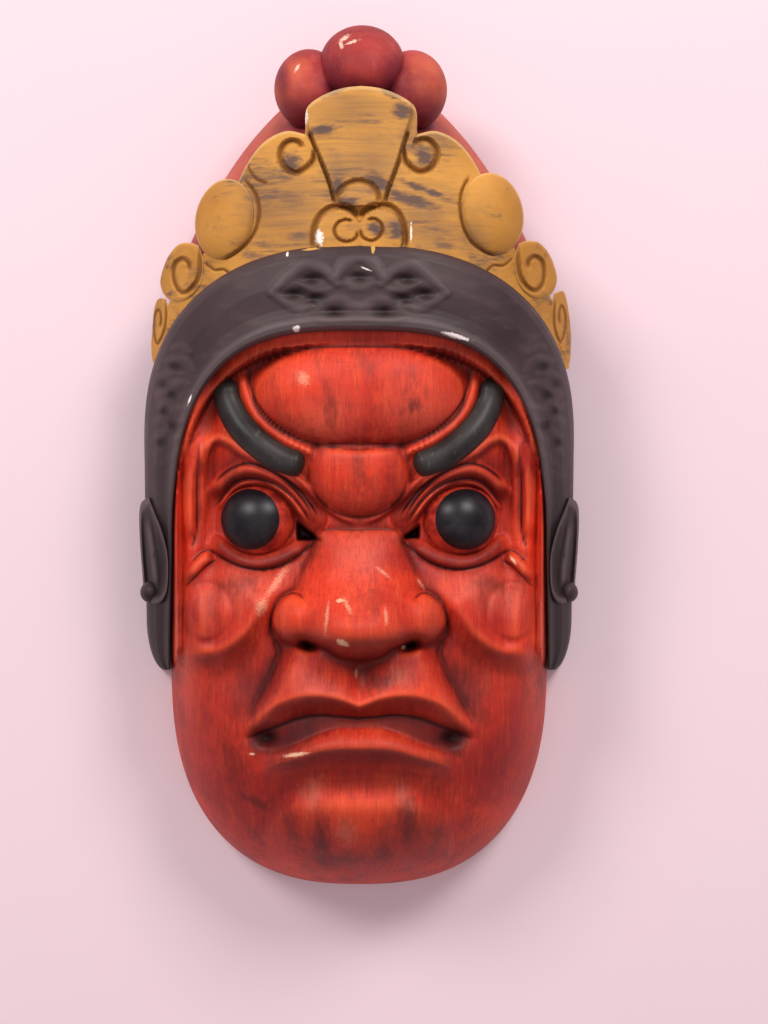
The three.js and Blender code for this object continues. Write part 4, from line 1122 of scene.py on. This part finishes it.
# Points, half width and depth of volutes, fan edges, and the arcs that set off the discs.
GOLD_GROOVES = [
    ([[-24.5, 158.0], [-21.6, 150.7], [-17.6, 141.4], [-14.2, 132.1], [-11.8, 122.7]], 1.0, 2.4),
    ([[24.0, 159.0], [21.1, 149.7], [18.1, 140.4], [14.7, 131.6], [12.2, 123.2]], 1.0, 2.4),
    ([
        [-21.6, 150.2], [-22.5, 144.3], [-26.5, 139.9], [-31.8, 137.9], [-36.8, 140.9],
        [-38.7, 146.3], [-37.2, 151.2], [-33.3, 153.6], [-29.4, 152.6], [-27.9, 149.7],
    ], 1.5, 2.6),
    ([
        [21.1, 151.2], [22.1, 145.3], [25.0, 140.9], [29.9, 138.4], [35.3, 140.4], [38.2, 145.8],
        [37.2, 150.7], [33.3, 154.1], [28.9, 153.6], [26.9, 150.7],
    ], 1.5, 2.6),
    ([
        [-11.3, 122.3], [-10.3, 127.6], [-6.4, 132.1], [-0.5, 134.0], [5.4, 132.5], [8.8, 128.6],
        [10.3, 122.7],
    ], 1.4, 2.0),
    ([
        [-22.5, 100.2], [-22.5, 109.0], [-19.6, 116.4], [-14.2, 120.8], [-7.8, 121.8],
        [-2.9, 119.8], [-0.5, 115.4],
    ], 1.5, 2.2),
    ([
        [22.1, 100.2], [22.5, 109.0], [20.1, 116.9], [15.7, 121.3], [9.3, 122.3], [3.4, 120.3],
        [0.0, 115.9],
    ], 1.5, 2.2),
    ([
        [-2.9, 113.9], [-6.4, 114.9], [-10.3, 113.4], [-12.2, 109.5], [-10.3, 105.6], [-6.4, 104.1],
        [-2.0, 105.6], [-0.5, 109.5],
    ], 0.9, 1.8),
    ([
        [3.4, 114.4], [7.3, 115.4], [10.8, 112.9], [11.3, 109.0], [8.8, 105.6], [5.4, 104.6],
        [1.5, 106.6], [0.5, 110.5],
    ], 0.9, 1.8),
    ([
        [-78.4, 101.7], [-77.9, 94.3], [-78.4, 87.5], [-81.3, 82.1], [-85.8, 79.1], [-89.7, 82.6],
        [-91.1, 88.9], [-89.7, 93.8], [-86.2, 95.8], [-83.3, 93.3], [-83.8, 89.4],
    ], 1.3, 2.2),
    ([
        [77.9, 102.7], [77.9, 94.3], [78.9, 87.5], [81.8, 82.6], [86.2, 80.1], [89.7, 83.5],
        [90.6, 89.9], [89.2, 94.8], [85.8, 96.8], [82.8, 94.3], [83.3, 90.4],
    ], 1.3, 2.2),
    ([
        [-95.1, 75.7], [-94.6, 66.9], [-96.0, 59.0], [-99.0, 54.1], [-100.5, 61.0], [-100.0, 67.9],
        [-98.0, 70.8], [-97.0, 65.9], [-98.0, 61.0],
    ], 0.8, 1.6),
    ([
        [96.5, 76.7], [95.5, 68.8], [96.0, 61.0], [98.5, 55.1], [100.9, 61.0], [100.9, 68.8],
        [99.0, 72.8], [98.0, 67.9], [98.5, 63.0],
    ], 0.8, 1.6),
    ([
        [-56.8, 135.0], [-51.4, 128.6], [-49.0, 119.8], [-50.5, 110.5], [-54.9, 103.6],
        [-60.3, 99.2], [-67.1, 95.3],
    ], 0.9, 1.6),
    ([
        [54.4, 136.5], [50.5, 129.6], [49.5, 121.3], [51.0, 112.0], [54.9, 104.6], [60.3, 100.2],
        [67.1, 97.3],
    ], 0.9, 1.6),
    ([[-55.4, 144.3], [-53.4, 138.4], [-50.0, 134.5], [-44.6, 132.5]], 0.8, 1.1),
    ([[-76.0, 94.3], [-71.0, 90.4], [-66.2, 90.4], [-62.2, 87.0]], 0.8, 1.0),
    ([[75.5, 96.3], [70.6, 92.4], [65.7, 92.4], [62.2, 89.4]], 0.8, 1.0),
]
GOLD_GROOVES = [(curve(points, 4), half, deep) for points, half, deep in GOLD_GROOVES]


def gold_relief(u, v):
    """Grooves cut along curves, round-bottomed with one soft shoulder; also how much painted shade
    lies in them.
    """
    h, dark = np.zeros(u.shape), np.zeros(u.shape)
    for line, half, deep in GOLD_GROOVES:
        d, t, _ = along(u, v, line)
        k = np.clip(1.25 - d / half, 0, 1) ** 0.8 * ease(-0.02, 0.08, t) * ease(1.02, 0.92, t)
        h = np.minimum(h, -deep * k)
        dark = np.maximum(dark, k**1.5)
    return h, dark


def gold_steps(u, v):
    """Raised parts of the plate: the fan between its two sides, the half disc, the twin discs."""
    left, _, a = along(u, v, FAN_LEFT)
    right, _, b = along(u, v, FAN_RIGHT)
    inside = np.minimum(left * a, -right * b)
    fan = 2.4 * ease(-0.3, 1.0, inside) * ease(120.8, 124.7, v)
    k = oval(u, v, [-0.5, 122.7], 10.0, 9.3)
    half = np.where(k < 1, 2.2 + 2.4 * dome(k, 1, 0.45), 0) * (v > 121.8)
    twin = np.zeros(u.shape)
    for mid in ([-9.8, 107.1], [10.3, 107.6]):
        k = oval(u, v, mid, 11.5, 12.5)
        twin = np.maximum(twin, np.where(k < 1, 2.2 + 1.8 * dome(k, 1, 0.3), 0))
    return np.maximum(np.maximum(fan, half), twin)


def crown_plate():
    """The crown's plate: sections fanned about a point, from inside the band out to the cut edge,
    which is given as degrees off upright and the distance from that point."""
    deg = levels([(-71, 0), (-10.6, 210), (-9.2, 14), (9.2, 90), (10.6, 14), (71, 210)])
    a = np.radians(deg)
    n = BAND_OUT["n"]
    wide, high = np.abs(np.sin(a)) / BAND_OUT["a"], np.abs(np.cos(a)) / BAND_OUT["b"]
    inner = ((wide**n + high**n) ** (-1 / n) * 0.95)[:, None]
    edge = curve([
        [10.4, 152.4], [14, 155.8], [19, 152.4], [25, 141.1], [30, 128.4], [38, 120.5], [52, 116.6],
        [71, 107.8],
    ], 8)
    fan = curve([
        [0, 173.5], [3, 172.7], [6, 170.3], [8.4, 167.1], [9.4, 164.2], [9.9, 159.7],
        [10.15, 154.8], [10.4, 152.4],
    ], 4)
    edge = np.concatenate([fan[:-1], edge])
    outer = np.interp(np.abs(deg), edge[:, 0], edge[:, 1])[:, None]
    w = levels([(0, 0), (0.97, 118), (1, 7)])
    drop = np.interp(w, [0, 0.955, 0.98, 0.992, 1], [0, 0, -0.35, -0.9, -2.0])

    def fanned(share):
        r = inner + (outer - inner) * share
        return CROWN_MID[0] + r * np.sin(a)[:, None], CROWN_MID[1] + r * np.cos(a)[:, None]

    u, v = fanned(w)
    h, dark = gold_relief(u, v)
    front = place(u, v, crown_top(u, v) + drop + h + gold_steps(u, v))
    ub, vb = fanned(w[::-9])
    back = place(ub, vb, crown_back(ub, vb))
    # painted highlight along the plate's cut edge
    rim = np.interp(w, [0, 0.965, 0.985, 1], [0, 0, 1, 1])[None] + 0 * u
    looks = {"hollow": dark, "painted_highlight": rim}
    looks = {k: np.concatenate([x, np.zeros(ub.shape)], axis=1) for k, x in looks.items()}
    loft("crown_plate", np.concatenate([front, back], axis=1), GOLD, attributes=looks)


def boss(name, mid, outline, steps):
    """Raised form over a closed outline: rings of the outline drawn in by a share, each at a
    height over the crown's front, with the crown's grooves cut into it."""
    share, height = np.array(steps, float).T
    k = (share[:-1, None] + np.diff(share)[:, None] * np.linspace(0, 1, 4)[:-1]).reshape(-1)
    k = np.append(k, share[-1])[:, None]
    u = mid[0] + outline[:, 0] * k
    v = mid[1] + outline[:, 1] * k
    h, dark = gold_relief(u, v)
    rings = place(u, v, crown_top(u, v) + np.interp(-k, -share, height) + h)
    low = place(u[0], v[0], crown_back(u[0], v[0]))
    # painted highlight along the outline's edge
    rim = np.interp(k, [0, 0.93, 0.975, 1], [0, 0, 1, 1]) + 0 * u
    looks = {"hollow": dark, "painted_highlight": rim}
    looks = {key: np.concatenate([0 * x[:1], x]) for key, x in looks.items()}
    loft(name, np.concatenate([low[None], rings]), GOLD, attributes=looks)


def turned_oval(ru, rv, turn, n=96):
    """Closed oval outline, turned about its own middle."""
    a = np.linspace(0, 2 * math.pi, n, endpoint=False)
    c, s = math.cos(turn), math.sin(turn)
    return np.stack([ru * np.cos(a), rv * np.sin(a)], axis=-1) @ np.array([[c, s], [-s, c]])


def domed(high):
    """Steps of a half round: share of the outline, and the height there."""
    shares = (1, 0.985, 0.96, 0.92, 0.86, 0.78, 0.68, 0.56, 0.44, 0.32, 0.2, 0.08)
    return [(k, high * math.sqrt(max(0, 1 - k * k))) for k in shares]


def flat_top(lift, high):
    """Steps of a flat top with a rounded edge: share of the outline, and the height there."""
    shares = (1, 0.985, 0.96, 0.93, 0.86, 0.78, 0.7, 0.6, 0.5, 0.4, 0.3, 0.2, 0.1)
    return [(k, lift + high * min(1, math.sqrt(max(0, 1 - k) / 0.12))) for k in shares]


# Name, middle, lift and height over the crown's front, and the outline.
LEAVES = [
    ("leaf_left", (-86.7, 89.4), 0, 1.6, [
        [-78.4, 102.2], [-82.3, 103.6], [-88.2, 103.1], [-93.1, 97.8], [-96.0, 91.4], [-97.5, 84.0],
        [-95.1, 77.7], [-89.7, 74.7], [-82.8, 77.2], [-77.9, 83.5], [-76.4, 94.3], [-78.4, 102.2],
    ]),
    ("leaf_right", (86.7, 90.4), 0, 1.6, [
        [77.9, 103.1], [81.8, 104.6], [87.7, 104.1], [92.6, 99.2], [95.5, 92.9], [97.0, 85.5],
        [94.6, 79.1], [89.2, 76.2], [82.8, 78.2], [77.9, 84.5], [76.0, 95.3], [77.9, 103.1],
    ]),
    ("end_leaf_left", (-97.5, 62.0), -0.5, 1.4, [
        [-94.6, 76.2], [-98.5, 76.2], [-100.5, 70.8], [-101.4, 61.0], [-101.9, 52.2],
        [-100.9, 45.3], [-97.5, 50.2], [-93.6, 58.6], [-93.1, 68.4], [-94.6, 76.2],
    ]),
    ("end_leaf_right", (99.0, 63.5), -0.5, 1.4, [
        [95.5, 79.1], [100.0, 80.1], [101.9, 74.7], [103.4, 64.9], [103.9, 55.1], [102.9, 44.3],
        [99.0, 51.2], [95.1, 61.0], [94.1, 70.8], [95.5, 79.1],
    ]),
]


def crown_pieces():
    """The plate, the two round discs on it and the leaves at its ends."""
    crown_plate()
    boss("disc_left", [-66.2, 115.4], turned_oval(14.0, 19.8, -0.2), domed(6))
    boss("disc_right", [65.7, 118.1], turned_oval(14.7, 20.1, 0.2), domed(6))
    for name, mid, lift, high, points in LEAVES:
        leaf = curve(points, 8)[:-1]
        boss(name, mid, (leaf if mid[0] < 0 else leaf[::-1]) - mid, flat_top(lift, high))


# Topknots and ears
def ball(name, mid, z0, ru, rv, rz, paint, n=72):
    """Oval ball: rings about the up-and-down axis."""
    p = np.linspace(0, math.pi, n // 2 + 1)[1:-1, None]
    a = np.linspace(0, 2 * math.pi, n, endpoint=False)[None]
    u = mid[0] + ru * np.sin(p) * np.cos(a)
    v = mid[1] + rv * np.cos(p) + 0 * a
    z = z0 + rz * np.sin(p) * np.sin(a)
    tips = (place(mid[0], mid[1] + rv, z0), place(mid[0], mid[1] - rv, z0))
    loft(name, place(u, v, z), paint, tips)


def ear(name, side):
    """Ear laid on the strap: the outline drawn in by shares, at heights over the strap's front,
    with a rolled rim, a fold inside and a cup. Its foot hangs on the strap's side, a half oval."""
    outline = curve([
        [-102.9, -20.8], [-106.8, -23.8], [-107.8, -31.1], [-107.3, -44.3], [-106.3, -57.6],
        [-105.3, -67.4], [-102.4, -72.8], [-97.5, -73.3], [-94.1, -68.4], [-93.1, -59.0],
        [-93.6, -48.3], [-96.5, -37.0], [-100.0, -28.2], [-102.9, -20.8],
    ], 10)[:-1]
    mid = np.array([-100.5, -49.2])
    share = np.clip((outline[:, 1] - mid[1]) / 27.4, -1, 1)
    deep = np.sqrt(1 - share**2)
    # share of the outline, height over the strap, and 1 for the foot
    steps = [
        (0.78, -25, 1), (0.94, -20, 1), (1, -11, 1), (1, -1, 0), (0.985, 1.6, 0), (0.955, 3.2, 0),
        (0.915, 4.0, 0), (0.87, 3.8, 0), (0.82, 2.6, 0), (0.76, 1.3, 0), (0.68, 0.8, 0),
        (0.58, 0.8, 0), (0.46, 0.9, 0), (0.34, 1.0, 0), (0.22, 1.0, 0), (0.1, 1.0, 0),
    ]
    k, dz, foot = np.array(steps).T[..., None]
    u = mid[0] + (outline[:, 0] - mid[0]) * k
    v = mid[1] + (outline[:, 1] - mid[1]) * k
    fold = soft(u - mix(-103.6, -99.6, ease(-24, -66, v)), 1.5) * (k < 0.84)
    fold = fold * ease(-30.4, -39.2, v) * ease(-68.6, -59.8, v)
    z = band_top(u, v) + dz * np.where(foot > 0, mix(0.1, 1, deep), 1) + 2.6 * fold
    # painted shade in the cup, painted highlight on the rolled rim and the fold
    dark = np.interp(k, [0.0, 0.7, 0.8, 0.86], [1, 1, 0.5, 0]) * (1 - fold)
    lit = np.interp(k, [0.84, 0.9, 0.96, 1], [0, 1, 0.6, 0.2]) + 0.6 * fold
    looks = {"hollow": dark * (foot == 0), "painted_highlight": lit * (foot == 0)}
    loft(name, place(side * -u, v, z), BLACK, attributes=looks)


face_piece()
hood_piece()
for label, side in (("left", -1), ("right", 1)):
    eyeball("eyeball_" + label, (side * 49.5, -32.1))
    brow("brow_" + label, -side)
    ear("ear_" + label, side)
    ball("ear_lobe_" + label, (side * 102.6, -67.5), 42.5, 4.7, 5.1, 6.5, BLACK, 40)
band_piece()
crown_pieces()
ball("topknot_middle", [1.5, 191.3], 52, 20.8, 19.1, 21, HOOD_RED)
ball("topknot_left", [-24.5, 179.1], 46, 17.1, 19.6, 18, HOOD_RED)
ball("topknot_right", [26.0, 178.6], 46, 17.1, 19.6, 18, HOOD_RED)


# Floor, light and camera
def floor_and_light():
    """Plain pale floor, two soft lights over the topknots, a broad one overhead, a dim even sky."""
    paint = Paint("pale_lilac_floor_paint", "", "#E2CAD2", 0.8, 0.5, 1.5)
    paint.wash("#E9D3DA", paint.grain(3, 2, 0.5), 0, 1)
    far = 3  # half width in metres
    mesh = bpy.data.meshes.new("floor")
    corners = [(-far, -far, 0), (far, -far, 0), (far, far, 0), (-far, far, 0)]
    mesh.from_pydata(corners, [], [(0, 1, 2, 3)])
    mesh.materials.append(paint.finish()[0])
    floor = bpy.data.objects.new("floor", mesh)
    bpy.context.scene.collection.objects.link(floor)
    for name, size, power, spot in (
        ("upper_left", 0.6, 20.5, (-0.95, 1.1, 1.3)),
        ("upper_right", 0.6, 24, (0.75, 1.3, 1.3)),
        ("overhead", 2.0, 9, (0.05, -0.3, 2.0)),
    ):
        light = bpy.data.lights.new(name, "AREA")
        light.size, light.energy = size, power
        light.color = (1.0, 0.955, 0.93)
        lamp = bpy.data.objects.new(name, light)
        lamp.location = spot
        aim = np.array([0.0, 0.0, 0.05]) - np.array(spot)
        tilt = math.acos(-aim[2] / np.linalg.norm(aim))
        lamp.rotation_euler = (tilt, 0, math.atan2(-aim[0], aim[1]))
        bpy.context.scene.collection.objects.link(lamp)
    world = bpy.data.worlds.new("studio")
    bpy.context.scene.world = world
    world.use_nodes = True
    sky = world.node_tree.nodes["Background"].inputs
    sky["Color"].default_value = colour("#EADCE6")
    sky["Strength"].default_value = 0.4


def camera():
    """Looks straight down on the face, from EYE mm over the rim, with the topknots up."""
    lens = bpy.data.cameras.new("camera")
    lens.sensor_fit, lens.sensor_height, lens.sensor_width = "VERTICAL", 36, 36
    lens.lens = 50
    look = bpy.data.objects.new("camera", lens)
    look.location = ((AXIS[0] - CENTRE[0]) / 1000, (AXIS[1] - CENTRE[1]) / 1000, EYE / 1000)
    bpy.context.scene.collection.objects.link(look)
    bpy.context.scene.camera = look


floor_and_light()
camera()
bpy.context.scene.view_settings.view_transform = "Standard"
